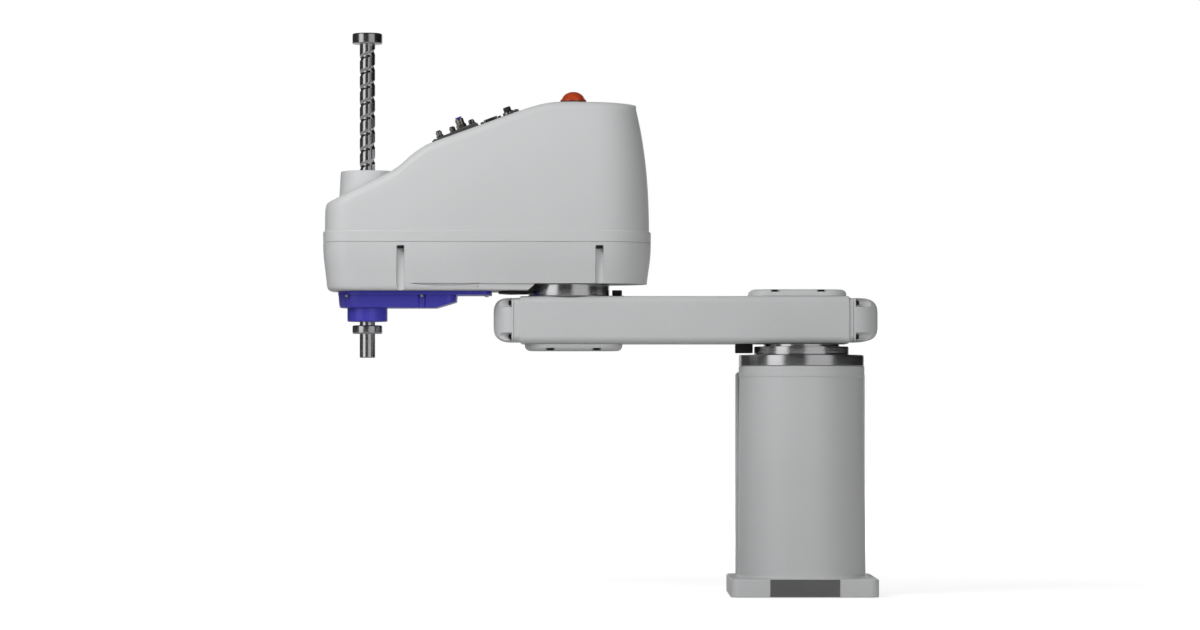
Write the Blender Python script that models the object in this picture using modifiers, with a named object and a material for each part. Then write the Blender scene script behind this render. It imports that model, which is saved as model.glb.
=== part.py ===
"""A four-axis SCARA robot with a 700 mm reach, modelled as its separate pieces.

Units are metres and +Z is up.  The origin lies on the first joint's axis, in the plane of the
base's underside.  The arms point along -X, and the machined face of the base looks along -Y.
"""
import math

import bmesh
import bpy
from mathutils import Matrix, Vector

MM = 0.001
TURN = 2 * math.pi

# Driving dimensions: clearances
GAP = 0.3 * MM              # left between pieces that touch
RUNNING_GAP = 0.5 * MM      # left round pieces that turn in a bore
POKE = 1.0 * MM             # how far a cutter reaches past the face it cuts

# Driving dimensions: reach and travel
ARM1_LENGTH = 375 * MM
ARM2_LENGTH = 325 * MM
JOINT1_REACH_EACH_WAY = 132
JOINT2_REACH_EACH_WAY = 140
SPLINE_LEAD = 25 * MM

# Driving dimensions: base casting
FLANGE_WIDTH = 236 * MM
FLANGE_HEIGHT = 29 * MM
FLANGE_CORNER = 15 * MM
FLANGE_EDGE = 3 * MM
MOUNT_HOLE_SPACING = 176 * MM
MOUNT_HOLE_RADIUS = 6.75 * MM
PAD_WIDTH = 112 * MM
PAD_PROUD = 1 * MM
COLUMN_HEIGHT = 367 * MM
COLUMN_TOP_RADIUS = 100.4 * MM
COLUMN_FOOT_RADIUS = 103 * MM
COLUMN_FOOT_FILLET = 4 * MM
COLUMN_COLLAR_RADIUS = 101.3 * MM
COLUMN_COLLAR_HEIGHT = 16 * MM
COLUMN_WALL = 9 * MM
COLUMN_FLOOR = 14 * MM
CABLE_WINDOW_WIDTH = 90 * MM
CABLE_WINDOW_LOW = 80 * MM
CABLE_WINDOW_HIGH = 300 * MM

# Driving dimensions: rear cover and connectors of the base
REAR_COVER_HALF_WIDTH = 103.5 * MM
REAR_COVER_FRONT = 24 * MM
REAR_COVER_BACK = 112 * MM
REAR_COVER_BELOW_COLUMN_TOP = 8 * MM
REAR_COVER_CORNER = 12 * MM
REAR_COVER_EDGE = 6 * MM
REAR_COVER_WALL = 3 * MM
REAR_SCREW_FROM_END = 20 * MM
PANEL_HALF_WIDTH = 72 * MM
PANEL_LOW = 120 * MM
PANEL_HIGH = 310 * MM
PANEL_THICKNESS = 2.5 * MM
CONNECTOR_ROW_OFFSET = 45 * MM
CONNECTOR_EDGE = 14 * MM
POWER_INLET_SIZE = (44 * MM, 24 * MM, 44 * MM)
SIGNAL_SOCKET_SIZE = (50 * MM, 16 * MM, 32 * MM)
USER_SOCKET_SIZE = (44 * MM, 7 * MM, 14 * MM)
BASE_FITTING_SPOTS = (24 * MM, 48 * MM)
BASE_FITTING_HEIGHT = 15 * MM

# Driving dimensions: first joint
FIXED_RING_RADIUS = 101 * MM
FIXED_RING_BORE = 55 * MM
FIXED_RING_HEIGHT = 18.1 * MM
OUTPUT_RING_RADIUS = 76.3 * MM
OUTPUT_RING_HEIGHT = 13.3 * MM
HUB_RADIUS = 61 * MM
HUB_HEIGHT = 4 * MM
HUB_SPIGOT_RADIUS = 40 * MM
REDUCER_HEIGHT = 65 * MM
JOINT1_MOTOR_WIDTH = 90 * MM
JOINT1_MOTOR_HEIGHT = 150 * MM
STOP_BLOCK_INNER = 79 * MM
STOP_BLOCK_OUTER = 107 * MM
STOP_BLOCK_WIDTH = 24 * MM
STOP_BLOCK_HEIGHT = 14.5 * MM
STOP_BOLT_RADIUS = 6 * MM
STOP_BOLT_HEIGHT = 11 * MM

# Driving dimensions: arm 1
ARM1_HALF_WIDTH = 65 * MM
ARM1_HEIGHT = 76 * MM
ARM1_WALL = 7 * MM
ARM1_EDGE = 12 * MM
ARM1_BODY_PAST_JOINT1 = 75 * MM
ARM1_BODY_PAST_JOINT2 = 76 * MM
ARM1_NECK_PAST_JOINT1 = 80 * MM
ARM1_NECK_PAST_JOINT2 = 87.5 * MM
ARM1_NECK_STEP = 3 * MM
ARM1_END_PAST_JOINT = 121 * MM
CAP_WALL = 3.5 * MM
CAP_POCKET_RADIUS = 6.5 * MM
CAP_SCREW_ACROSS = 57 * MM
CAP_SCREW_FROM_EDGE = 11 * MM
CAP_EDGE = 9 * MM

# A cap's form: share of its length, how far the sides and the top have come in
CAP_SHAPE = (
    (0.0, 0.0, 0.0),
    (0.35, 2.5 * MM, 1.0 * MM),
    (0.60, 7.5 * MM, 2.4 * MM),
    (0.80, 15.0 * MM, 6.0 * MM),
    (0.94, 25.0 * MM, 13.0 * MM),
    (1.0, 38.0 * MM, 24.0 * MM),
)
ARM1_COVER_HALF_LENGTH = 78.5 * MM
ARM1_COVER_HALF_WIDTH = 56 * MM
ARM1_COVER_HEIGHT = 10.8 * MM
ARM1_COVER_OFFSET = 7.5 * MM
ARM1_COVER_CORNER = 34 * MM
ARM1_COVER_SCREW_HALF_PITCH = 37 * MM
ARM1_COVER_SCREW_INSET = 8 * MM
ARM1_COVER_RECESS_RADIUS = 6.5 * MM
ARM1_COVER_SEAT = 4 * MM
ARM1_COVER_SHOULDER = ((0, 0), (0.45, 0.6 * MM), (0.75, 3 * MM), (0.93, 7 * MM), (1, 11 * MM))
ARM1_ACCESS_RADIUS = 44 * MM

# Driving dimensions: second joint
JOINT2_RING_RADIUS = 65.5 * MM
JOINT2_RING_HEIGHT = 19.4 * MM
JOINT2_BODY_RADIUS = 45 * MM
JOINT2_BODY_DEPTH = 48 * MM
JOINT2_OUTPUT_RADIUS = 40 * MM
STOPPER_RADIUS = 8 * MM
STOPPER_HEIGHT = 10.4 * MM
STOPPER_FROM_JOINT2 = 77.5 * MM
STOP_PLATE_INNER = 68 * MM
STOP_PLATE_OUTER = 114 * MM
STOP_PLATE_THICKNESS = 3.4 * MM

# Driving dimensions: arm 2 casting
ARM2_HALF_WIDTH = 80 * MM
ARM2_NOSE = 69 * MM
ARM2_TAIL = 132 * MM
ARM2_NOSE_CORNER = 45 * MM
ARM2_TAIL_CORNER = 78 * MM
ARM2_CASTING_HEIGHT = 77.2 * MM
ARM2_TAIL_RISE = 11.3 * MM
ARM2_SIDE_WALL = 7 * MM
ARM2_FLOOR = 10 * MM
ARM2_RISE_START = 66 * MM
ARM2_RISE_END = 52 * MM
STOP_CHANNEL_RADIUS = 90 * MM
GROOVE_RADIUS = 7 * MM
GROOVE_PAST_QUILL = 57 * MM
GROOVE_PAST_JOINT2 = 49 * MM
GROOVE_TOP_SKIN = 5.5 * MM
SIDE_NOTCH_FROM_QUILL = 68 * MM
SIDE_NOTCH_HEIGHT = 13 * MM
SIDE_NOTCH_DEPTH = 4 * MM

# Driving dimensions: arm 2 upper cover
LIP_PROUD = 2.8 * MM
LIP_HEIGHT = 17 * MM
COVER_WALL = 4 * MM
COVER_SHOULDER = 18 * MM
COVER_LEAN = 19 * MM
COVER_LEAN_HEIGHT = 198 * MM
HOUSING_TOP = 116 * MM
HOUSING_TOP_RADIUS = 40 * MM
HOUSING_FOOT_RADIUS = 50 * MM
HOUSING_BORE = 15 * MM
HOUSING_FOOT = 30 * MM

# The cover's top line over its nose: distance from the quill, height over the seam
NOSE_TOP = (
    (-66.2 * MM, 55 * MM),
    (-64 * MM, 61.5 * MM),
    (-57 * MM, 67.5 * MM),
    (-48 * MM, 71.5 * MM),
    (39 * MM, 115 * MM),
    (59 * MM, 130.5 * MM),
    (73 * MM, 142.8 * MM),
    (88 * MM, 151.8 * MM),
    (103.5 * MM, 159.5 * MM),
)

# The rest of the top line: distance from joint 2, height over the seam
SLOPE_END = (-77.4 * MM, 212.9 * MM)
TAIL_TOP = (
    (-58 * MM, 219.4 * MM),
    (-39.7 * MM, 224.4 * MM),
    (-16 * MM, 227.3 * MM),
    (30 * MM, 227.3 * MM),
    (79 * MM, 224.6 * MM),
    (104 * MM, 222 * MM),
    (121 * MM, 218.5 * MM),
    (129.2 * MM, 212 * MM),
)

# Driving dimensions: nose, quill and their drives
SHAFT_RADIUS = 12.5 * MM
SHAFT_LOW = 381 * MM
SHAFT_LENGTH = 523 * MM
SHAFT_PLAIN_FOOT = 62 * MM
SHAFT_PLAIN_HEAD = 18 * MM
SHAFT_CHAMFER = 1 * MM
BALL_GROOVE_WIDTH = 8.4 * MM
BALL_GROOVE_DEPTH = 2.0 * MM
SPLINE_GROOVE_WIDTH = 4.4 * MM
SPLINE_GROOVE_DEPTH = 1.5 * MM
SPLINE_GROOVES = 3
SHAFT_SIDES = 16
SHAFT_ROWS_PER_TURN = 5
COLLAR_RADIUS = 24.2 * MM
UPPER_COLLAR_HEIGHT = 17 * MM
LOWER_COLLAR_LOW = 419.6 * MM
LOWER_COLLAR_HEIGHT = 13.7 * MM
BLUE_DEPTH = 26.5 * MM
BLUE_PLATE = 6 * MM
BLUE_WALL = 3.5 * MM
BLUE_HALF_WIDTH = 44 * MM
BLUE_NOSE = 47 * MM
BLUE_DEEP_END = 112 * MM
BLUE_SLOPED_END = 145 * MM
BLUE_PLATE_FROM_STOP = 11 * MM
BLUE_PLATE_HALF_WIDTH = 52 * MM
BLUE_CUP_RADIUS = 32.4 * MM
BLUE_CUP_DEPTH = 22 * MM
BLUE_SLOPE_RISE = 12.5 * MM
BLUE_SCREW_SPOTS = ((-31 * MM, 37.5 * MM), (90 * MM, 47.5 * MM))
BLUE_END_SCREW_INSET = (9 * MM, 4.5 * MM)
BLUE_SCREW_RADIUS = 1.8 * MM
BLUE_SCREW_ROOM = 4.4 * MM
U_NUT_RADIUS = 19 * MM
U_BEARING_RADIUS = 34 * MM
U_BEARING_PROUD = 6 * MM
U_NUT_ABOVE_FLOOR = 14 * MM
NUT_PULLEY_RADIUS = 28 * MM
MOTOR_PULLEY_RADIUS = 11.2 * MM
PULLEY_HEIGHT = 15 * MM
PULLEY_RIM = 1.5 * MM
BELT_THICKNESS = 2 * MM
MOTOR_WIDTH = 60 * MM
MOTOR_SHAFT_RADIUS = 5.5 * MM
U_MOTOR_FROM_QUILL = 93 * MM
U_MOTOR_HEIGHT = 86 * MM
Z_MOTOR_FROM_QUILL = 175 * MM
Z_MOTOR_HEIGHT = 100 * MM
Z_BRACKET_ABOVE_SEAM = 52.5 * MM
Z_BRACKET_THICKNESS = 6 * MM
Z_BRACKET_HALF_WIDTH = 58 * MM
Z_NUT_RADIUS = 21 * MM
Z_BEARING_RADIUS = 33 * MM
Z_BEARING_HEIGHT = 14 * MM
Z_NUT_ABOVE_BRACKET = 34 * MM
POST_RADIUS = 6 * MM
JOINT2_MOTOR_WIDTH = 80 * MM
JOINT2_MOTOR_HEIGHT = 150 * MM

# Driving dimensions: user panel and lamp
USER_PANEL_LENGTH = 148 * MM
USER_PANEL_WIDTH = 56 * MM
USER_PANEL_THICKNESS = 3 * MM
USER_PANEL_PROUD = 0.8 * MM
SMALL_FITTING_RADIUS = 6.1 * MM
SMALL_FITTING_HEIGHT = 15.5 * MM
SMALL_FITTING_SPOTS = ((-59.4 * MM, -9 * MM), (-37 * MM, 10 * MM), (-4 * MM, 10 * MM))
LARGE_FITTING_RADIUS = 8.4 * MM
LARGE_FITTING_HEIGHT = 24.5 * MM
LARGE_FITTING_SPOT = (-21.5 * MM, -9 * MM)
DSUB_SPOT = 26.5 * MM
DSUB_LENGTH = 36 * MM
DSUB_WIDTH = 14 * MM
DSUB_HEIGHT = 6 * MM
BUTTON_SPOT = (57 * MM, 0)
BUTTON_RADIUS = 6.2 * MM
BUTTON_BEZEL_RADIUS = 9.5 * MM
BUTTON_BEZEL_HEIGHT = 6 * MM
BUTTON_HEIGHT = 13.5 * MM
BUTTON_TRAVEL = 2 * MM
LAMP_FROM_JOINT2 = 7 * MM
LAMP_RADIUS = 21.5 * MM
LAMP_DOME_RADIUS = 17.5 * MM
LAMP_HEIGHT = 16 * MM
LAMP_SEAT_DEPTH = 2 * MM

# Driving dimensions: fasteners
WIDE_STEPS = 40
ROUND_STEPS = 24
SMALL_STEPS = 12
SCREW_STEPS = 8
M4_HEAD_RADIUS = 3.5 * MM
M4_HEAD_HEIGHT = 4 * MM
M4_SHANK_RADIUS = 2 * MM
M4_SHANK_LENGTH = 9 * MM

# Heights that follow from the stack of pieces
REAR_COVER_TOP = COLUMN_HEIGHT - REAR_COVER_BELOW_COLUMN_TOP
FIXED_RING_LOW = COLUMN_HEIGHT + GAP
OUTPUT_RING_LOW = FIXED_RING_LOW + FIXED_RING_HEIGHT + GAP
ARM1_LOW = OUTPUT_RING_LOW + OUTPUT_RING_HEIGHT + HUB_HEIGHT + GAP
ARM1_TOP = ARM1_LOW + ARM1_HEIGHT
ARM1_MIDDLE = ARM1_LOW + ARM1_HEIGHT / 2
JOINT2_RING_LOW = ARM1_TOP + GAP
ARM2_TAIL_LOW = JOINT2_RING_LOW + JOINT2_RING_HEIGHT + GAP
ARM2_NOSE_LOW = ARM2_TAIL_LOW - ARM2_TAIL_RISE
ARM2_NOSE_FLOOR = ARM2_NOSE_LOW + ARM2_FLOOR
ARM2_TAIL_FLOOR = ARM2_TAIL_LOW + ARM2_FLOOR
SEAM = ARM2_NOSE_LOW + ARM2_CASTING_HEIGHT
COVER_LOW = SEAM + GAP
BLUE_TOP = ARM2_NOSE_LOW - GAP
BLUE_LOW = BLUE_TOP - BLUE_DEPTH
BLUE_FLOOR = BLUE_LOW + BLUE_WALL
Z_BRACKET_LOW = SEAM + Z_BRACKET_ABOVE_SEAM
Z_BRACKET_TOP = Z_BRACKET_LOW + Z_BRACKET_THICKNESS
U_PULLEY_LOW = BLUE_FLOOR + 2.5 * MM
Z_PULLEY_LOW = Z_BRACKET_LOW - GAP - PULLEY_HEIGHT - 1.5 * MM
COVER_NOSE_LINE = tuple((x - ARM2_LENGTH, z) for x, z in NOSE_TOP)
SLOPE_START = COVER_NOSE_LINE[-1]
SLOPE_ANGLE = math.atan2(SLOPE_END[1] - SLOPE_START[1], SLOPE_END[0] - SLOPE_START[0])
COVER_TOP_LINE = COVER_NOSE_LINE + (SLOPE_END,) + TAIL_TOP


def clear_scene():
    """Start from an empty scene."""
    for thing in list(bpy.data.objects):
        bpy.data.objects.remove(thing, do_unlink=True)


def new_collection(name):
    group = bpy.data.collections.new(name)
    bpy.context.scene.collection.children.link(group)
    return group


def new_frame(name, spot, parent=None, tilt=0.0):
    """An empty that carries the pieces of one body."""
    frame = bpy.data.objects.new(name, None)
    frame.empty_display_size = 30 * MM
    frame.location = spot
    frame.rotation_euler = (0, tilt, 0)
    frame.parent = parent
    PARTS.objects.link(frame)
    return frame


def finish(name, colour, roughness, metallic=0.0):
    """A plain Principled material."""
    material = bpy.data.materials.new(name)
    material.use_nodes = True
    shader = material.node_tree.nodes["Principled BSDF"]
    shader.inputs["Base Color"].default_value = (*colour, 1)
    shader.inputs["Roughness"].default_value = roughness
    shader.inputs["Metallic"].default_value = metallic
    material.diffuse_color = (*colour, 1)
    return material


def place(name, mesh, frame, material, spot=(0, 0, 0), turn=(0, 0, 0)):
    """Make an object of a mesh; one without a material is a cutter and is hidden in renders."""
    thing = bpy.data.objects.new(name, mesh)
    thing.parent = frame
    thing.location = spot
    thing.rotation_euler = turn
    if material is None:
        CUTTERS.objects.link(thing)
        thing.hide_render = True
        thing.display_type = "WIRE"
    else:
        PARTS.objects.link(thing)
        mesh.materials.append(material)
    mesh.shade_smooth()
    mesh.set_sharp_from_angle(angle=math.radians(32))
    return thing


def combine(target, tools, operation):
    for tool in tools:
        step = target.modifiers.new(tool.name, "BOOLEAN")
        step.object = tool
        step.operation = operation
        step.solver = "EXACT"
    return target


def cut(target, *tools):
    return combine(target, tools, "DIFFERENCE")


def fuse(target, *tools):
    return combine(target, tools, "UNION")


def box(name, frame, low, high, material=None, edge=0.0):
    """A block between two corners, with rounded edges if edge is given."""
    cube = bmesh.new()
    bmesh.ops.create_cube(cube, size=1)
    size = Vector(high) - Vector(low)
    middle = (Vector(high) + Vector(low)) / 2
    bmesh.ops.transform(cube, matrix=Matrix.Diagonal((*size, 1)), verts=cube.verts)
    mesh = bpy.data.meshes.new(name)
    cube.to_mesh(mesh)
    cube.free()
    block = place(name, mesh, frame, material, middle)
    if edge:
        rounding = block.modifiers.new("edges", "BEVEL")
        rounding.width = edge
        rounding.segments = 2
    return block


def turned_mesh(name, profile, steps, ring):
    """Turn (radius, height) points, listed down the outer side, round the vertical axis."""
    outline = bpy.data.meshes.new(name)
    count = len(profile)
    edges = [(index, index + 1) for index in range(count - 1)]
    if ring:
        edges.append((count - 1, 0))
    outline.from_pydata([(radius, 0, height) for radius, height in profile], edges, [])
    blank = bpy.data.objects.new(name, outline)
    CUTTERS.objects.link(blank)
    screw = blank.modifiers.new("turn", "SCREW")
    screw.steps = steps
    screw.render_steps = steps
    screw.use_merge_vertices = True
    screw.merge_threshold = 0.01 * MM
    turned = blank.evaluated_get(bpy.context.evaluated_depsgraph_get())
    mesh = bpy.data.meshes.new_from_object(turned)
    bpy.data.objects.remove(blank)
    return mesh


def rod(radius, low, high, chamfer=0.0):
    """Profile of a round bar."""
    if not chamfer:
        return [(0, high), (radius, high), (radius, low), (0, low)]
    return [
        (0, high),
        (radius - chamfer, high),
        (radius, high - chamfer),
        (radius, low + chamfer),
        (radius - chamfer, low),
        (0, low),
    ]


def sleeve(outer, inner, low, high, chamfer=0.0):
    """Profile of a ring with a bore."""
    if not chamfer:
        return [(outer, high), (outer, low), (inner, low), (inner, high)]
    return [
        (outer - chamfer, high),
        (outer, high - chamfer),
        (outer, low + chamfer),
        (outer - chamfer, low),
        (inner, low),
        (inner, high),
    ]


def turned(name, frame, profile, material=None, spot=(0, 0, 0), steps=ROUND_STEPS, ring=False,
           turn=(0, 0, 0)):
    return place(name, turned_mesh(name, profile, steps, ring), frame, material, spot, turn)


def turned_set(name, frame, profile, spots, towards=(0, 0, 1), steps=SCREW_STEPS):
    """A cutter that holds the same turned shape at each spot, with its axis turned to towards."""
    shape = turned_mesh(name, profile, steps, False)
    aim = Vector((0, 0, 1)).rotation_difference(Vector(towards)).to_matrix().to_4x4()
    copies = bmesh.new()
    for spot in spots:
        before = len(copies.verts)
        copies.from_mesh(shape)
        copies.verts.ensure_lookup_table()
        matrix = Matrix.Translation(spot) @ aim
        bmesh.ops.transform(copies, matrix=matrix, verts=copies.verts[before:])
    mesh = bpy.data.meshes.new(name)
    copies.to_mesh(mesh)
    copies.free()
    bpy.data.meshes.remove(shape)
    return place(name, mesh, frame, None)


def screw(head_radius=M4_HEAD_RADIUS, head_height=M4_HEAD_HEIGHT, shank_radius=M4_SHANK_RADIUS,
          shank_length=M4_SHANK_LENGTH, room=0.0):
    """Profile of a cap screw seated at height 0; room makes it the hole that clears the screw."""
    return [
        (0, head_height + room),
        (head_radius + room, head_height + room),
        (head_radius + room, 0.0 if room == 0 else -room),
        (shank_radius + room, 0.0 if room == 0 else -room),
        (shank_radius + room, -shank_length - room),
        (0, -shank_length - room),
    ]


def loft(name, frame, rings, material=None, closed_loop=False):
    """Skin a closed body through rings of points; a closed loop of rings needs no end faces."""
    skin = bmesh.new()
    loops = [[skin.verts.new(point) for point in ring] for ring in rings]
    pairs = list(zip(loops, loops[1:]))
    if closed_loop:
        pairs.append((loops[-1], loops[0]))
    for lower, upper in pairs:
        for index, corner in enumerate(lower):
            after = (index + 1) % len(lower)
            skin.faces.new((corner, lower[after], upper[after], upper[index]))
    if not closed_loop:
        skin.faces.new(loops[0])
        skin.faces.new(loops[-1])
    bmesh.ops.recalc_face_normals(skin, faces=skin.faces)
    mesh = bpy.data.meshes.new(name)
    skin.to_mesh(mesh)
    skin.free()
    return place(name, mesh, frame, material)


def rounded_outline(low, high, half_width, low_corner, high_corner, inset=0.0, steps=6):
    """A plan from low to high with arcs for corners; inset moves every side inwards."""
    corners = (
        (low + low_corner, low_corner - half_width, low_corner, 180),
        (high - high_corner, high_corner - half_width, high_corner, 270),
        (high - high_corner, half_width - high_corner, high_corner, 0),
        (low + low_corner, half_width - low_corner, low_corner, 90),
    )
    points = []
    for centre_u, centre_v, corner, start in corners:
        radius = corner - inset
        for step in range(steps + 1):
            angle = math.radians(start + 90 * step / steps)
            points.append((centre_u + radius * math.cos(angle), centre_v + radius * math.sin(angle)))
    return points


def stack(name, frame, outline, levels, material=None):
    """Loft one plan upwards through (height, inset) levels; outline(inset) gives its points."""
    rings = [[(u, v, height) for u, v in outline(inset)] for height, inset in levels]
    return loft(name, frame, rings, material)


def prism(name, frame, side_view, half_width, material=None):
    """Carry a side view of (x, z) points across the arm, from -half_width to half_width."""
    rings = [[(x, across, z) for x, z in side_view] for across in (-half_width, half_width)]
    return loft(name, frame, rings, material)


# Base


def base_flange_outline(inset):
    half = FLANGE_WIDTH / 2
    return rounded_outline(-half, half, half, FLANGE_CORNER, FLANGE_CORNER, inset, 5)


def column_profile(room=0.0, low=FLANGE_HEIGHT / 2, high=COLUMN_HEIGHT):
    """The column's outer side with its collar, draft and foot fillet."""
    foot = COLUMN_FOOT_RADIUS + room
    collar_low = COLUMN_HEIGHT - COLUMN_COLLAR_HEIGHT
    slope = COLUMN_FOOT_RADIUS - COLUMN_TOP_RADIUS
    fillet_top = FLANGE_HEIGHT + COLUMN_FOOT_FILLET
    return [
        (0, high),
        (COLUMN_COLLAR_RADIUS + room, high),
        (COLUMN_COLLAR_RADIUS + room, collar_low),
        (COLUMN_TOP_RADIUS + room, collar_low - 2 * MM),
        (COLUMN_TOP_RADIUS + slope * 0.5 + room, (collar_low + fillet_top) / 2),
        (foot, fillet_top),
        (foot + COLUMN_FOOT_FILLET * 0.3, FLANGE_HEIGHT + COLUMN_FOOT_FILLET * 0.3 + room),
        (foot + COLUMN_FOOT_FILLET, FLANGE_HEIGHT + room),
        (foot + COLUMN_FOOT_FILLET, low),
        (0, low),
    ]


def build_base_housing():
    levels = (
        (0, FLANGE_EDGE / 2),
        (FLANGE_EDGE / 2, 0),
        (FLANGE_HEIGHT - FLANGE_EDGE, 0),
        (FLANGE_HEIGHT - FLANGE_EDGE * 0.3, FLANGE_EDGE * 0.3),
        (FLANGE_HEIGHT, FLANGE_EDGE),
    )
    housing = stack("base_housing", BASE, base_flange_outline, levels, CAST_GREY)
    face = -FLANGE_WIDTH / 2
    pad = box("shape_front_pad", BASE, (-PAD_WIDTH / 2, face - PAD_PROUD, 0),
              (PAD_WIDTH / 2, face + 8 * MM, FLANGE_HEIGHT))
    column = turned("shape_column", BASE, column_profile(), steps=WIDE_STEPS)
    fuse(housing, pad, column)
    inner = COLUMN_TOP_RADIUS - COLUMN_WALL
    cavity = turned("cut_column", BASE, rod(inner, COLUMN_FLOOR, COLUMN_HEIGHT + POKE))
    window = box("cut_cable_window", BASE, (-CABLE_WINDOW_WIDTH / 2, inner / 2, CABLE_WINDOW_LOW),
                 (CABLE_WINDOW_WIDTH / 2, COLUMN_FOOT_RADIUS + POKE, CABLE_WINDOW_HIGH))
    reach = MOUNT_HOLE_SPACING / 2
    corners = [(x, y, 0) for x in (-reach, reach) for y in (-reach, reach)]
    holes = turned_set("cut_mount_holes", BASE, rod(MOUNT_HOLE_RADIUS, -POKE, FLANGE_HEIGHT + POKE),
                       corners, steps=SMALL_STEPS)
    cut(housing, cavity, window, holes)


def rear_cover_outline(front, wall):
    """Plan of the rear cover, as (x, y)."""
    def outline(inset):
        points = rounded_outline(front, REAR_COVER_BACK - wall, REAR_COVER_HALF_WIDTH - wall,
                                 1 * MM, REAR_COVER_CORNER - wall, inset, 4)
        return [(v, u) for u, v in points]
    return outline


def build_rear_cover():
    low = FLANGE_HEIGHT + GAP
    top = REAR_COVER_TOP
    levels = (
        (low, 0),
        (top - REAR_COVER_EDGE, 0),
        (top - REAR_COVER_EDGE * 0.3, REAR_COVER_EDGE * 0.15),
        (top, REAR_COVER_EDGE * 0.15 + 0.02 * MM),
    )
    cover = stack("base_rear_cover", BASE, rear_cover_outline(REAR_COVER_FRONT, 0), levels, COVER_GREY)
    hollow = stack("cut_rear_cover", BASE,
                   rear_cover_outline(REAR_COVER_FRONT - 4 * MM, REAR_COVER_WALL),
                   ((low + REAR_COVER_WALL, 0), (top - REAR_COVER_WALL, 0)))
    profile = column_profile(GAP, FLANGE_HEIGHT - POKE, COLUMN_HEIGHT)
    column = turned("cut_column_room", BASE, profile, steps=WIDE_STEPS)
    spots = rear_screw_spots()
    holes = turned_set("cut_rear_screws", BASE, screw(shank_length=4 * MM, room=GAP), spots,
                       towards=(0, 1, 0))
    cut(cover, hollow, column, holes)


def rear_screw_spots():
    reach = REAR_COVER_HALF_WIDTH - REAR_COVER_CORNER - 2 * MM
    heights = (FLANGE_HEIGHT + REAR_SCREW_FROM_END, REAR_COVER_TOP - REAR_SCREW_FROM_END)
    return [(x, REAR_COVER_BACK + GAP, z) for x in (-reach, reach) for z in heights]


def build_base_back():
    """The connector panel and what is on it."""
    front = REAR_COVER_BACK + GAP
    back = front + PANEL_THICKNESS
    box("connector_panel", BASE, (-PANEL_HALF_WIDTH, front, PANEL_LOW),
        (PANEL_HALF_WIDTH, back, PANEL_HIGH), ALUMINIUM)
    on_panel = back + GAP
    middle = (PANEL_LOW + PANEL_HIGH) / 2
    upper = middle + CONNECTOR_ROW_OFFSET
    lower = middle - CONNECTOR_ROW_OFFSET
    left = -PANEL_HALF_WIDTH + CONNECTOR_EDGE
    right = PANEL_HALF_WIDTH - CONNECTOR_EDGE - SIGNAL_SOCKET_SIZE[0]
    for name, low_x, z, size, material, edge in (
        ("power_connector", left, upper, POWER_INLET_SIZE, BLACK_PLASTIC, 2 * MM),
        ("signal_connector", right, upper, SIGNAL_SOCKET_SIZE, BLACK_PLASTIC, 2 * MM),
        ("user_connector", left, lower, USER_SOCKET_SIZE, STEEL, 1 * MM),
    ):
        box(name, BASE, (low_x, on_panel, z - size[2] / 2),
            (low_x + size[0], on_panel + size[1], z + size[2] / 2), material, edge)
    for number, x in enumerate(BASE_FITTING_SPOTS, 1):
        turned("base_air_fitting_%d" % number, BASE,
               fitting_profile(SMALL_FITTING_RADIUS, BASE_FITTING_HEIGHT),
               BLACK_PLASTIC, spot=(x, on_panel, lower), steps=SMALL_STEPS, turn=(-math.pi / 2, 0, 0))


def fitting_profile(radius, height):
    """A push-in air fitting: hexagon foot, body, release collar and a shallow tube mouth."""
    foot = height * 0.28
    neck = height * 0.8
    return [
        (0, height - 1.5 * MM),
        (radius * 0.45, height - 1.5 * MM),
        (radius * 0.45, height),
        (radius * 0.72, height),
        (radius * 0.72, neck),
        (radius * 0.9, neck),
        (radius * 0.9, foot),
        (radius, foot),
        (radius, 0),
        (0, 0),
    ]


# First joint


def build_joint1():
    """The fixed side in the column, and the output flange that carries arm 1."""
    turned("joint1_fixed_ring", BASE,
           sleeve(FIXED_RING_RADIUS, FIXED_RING_BORE, FIXED_RING_LOW,
                  FIXED_RING_LOW + FIXED_RING_HEIGHT, 1 * MM), POLISHED, steps=WIDE_STEPS, ring=True)
    top = OUTPUT_RING_LOW - GAP
    low = top - REDUCER_HEIGHT
    wide = COLUMN_TOP_RADIUS - COLUMN_WALL - GAP
    turned("joint1_reducer", BASE, [
        (0, top),
        (FIXED_RING_BORE - GAP, top),
        (FIXED_RING_BORE - GAP, FIXED_RING_LOW - GAP),
        (wide, FIXED_RING_LOW - GAP),
        (wide, FIXED_RING_LOW - GAP - 14 * MM),
        (FIXED_RING_BORE + 8 * MM, FIXED_RING_LOW - GAP - 14 * MM),
        (FIXED_RING_BORE + 8 * MM, low),
        (0, low),
    ], STEEL)
    half = JOINT1_MOTOR_WIDTH / 2
    motor_top = low - GAP
    box("joint1_motor", BASE, (-half, -half, motor_top - JOINT1_MOTOR_HEIGHT),
        (half, half, motor_top), BLACK_PLASTIC, 5 * MM)
    build_stop_bolts()
    hub_top = OUTPUT_RING_LOW + OUTPUT_RING_HEIGHT + HUB_HEIGHT
    turned("joint1_output_flange", ARM1, [
        (0, hub_top + ARM1_WALL),
        (HUB_SPIGOT_RADIUS, hub_top + ARM1_WALL),
        (HUB_SPIGOT_RADIUS, hub_top),
        (HUB_RADIUS, hub_top),
        (HUB_RADIUS, hub_top - HUB_HEIGHT),
        (OUTPUT_RING_RADIUS - 1 * MM, hub_top - HUB_HEIGHT),
        (OUTPUT_RING_RADIUS, hub_top - HUB_HEIGHT - 1 * MM),
        (OUTPUT_RING_RADIUS, OUTPUT_RING_LOW),
        (0, OUTPUT_RING_LOW),
    ], POLISHED, steps=WIDE_STEPS)


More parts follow.
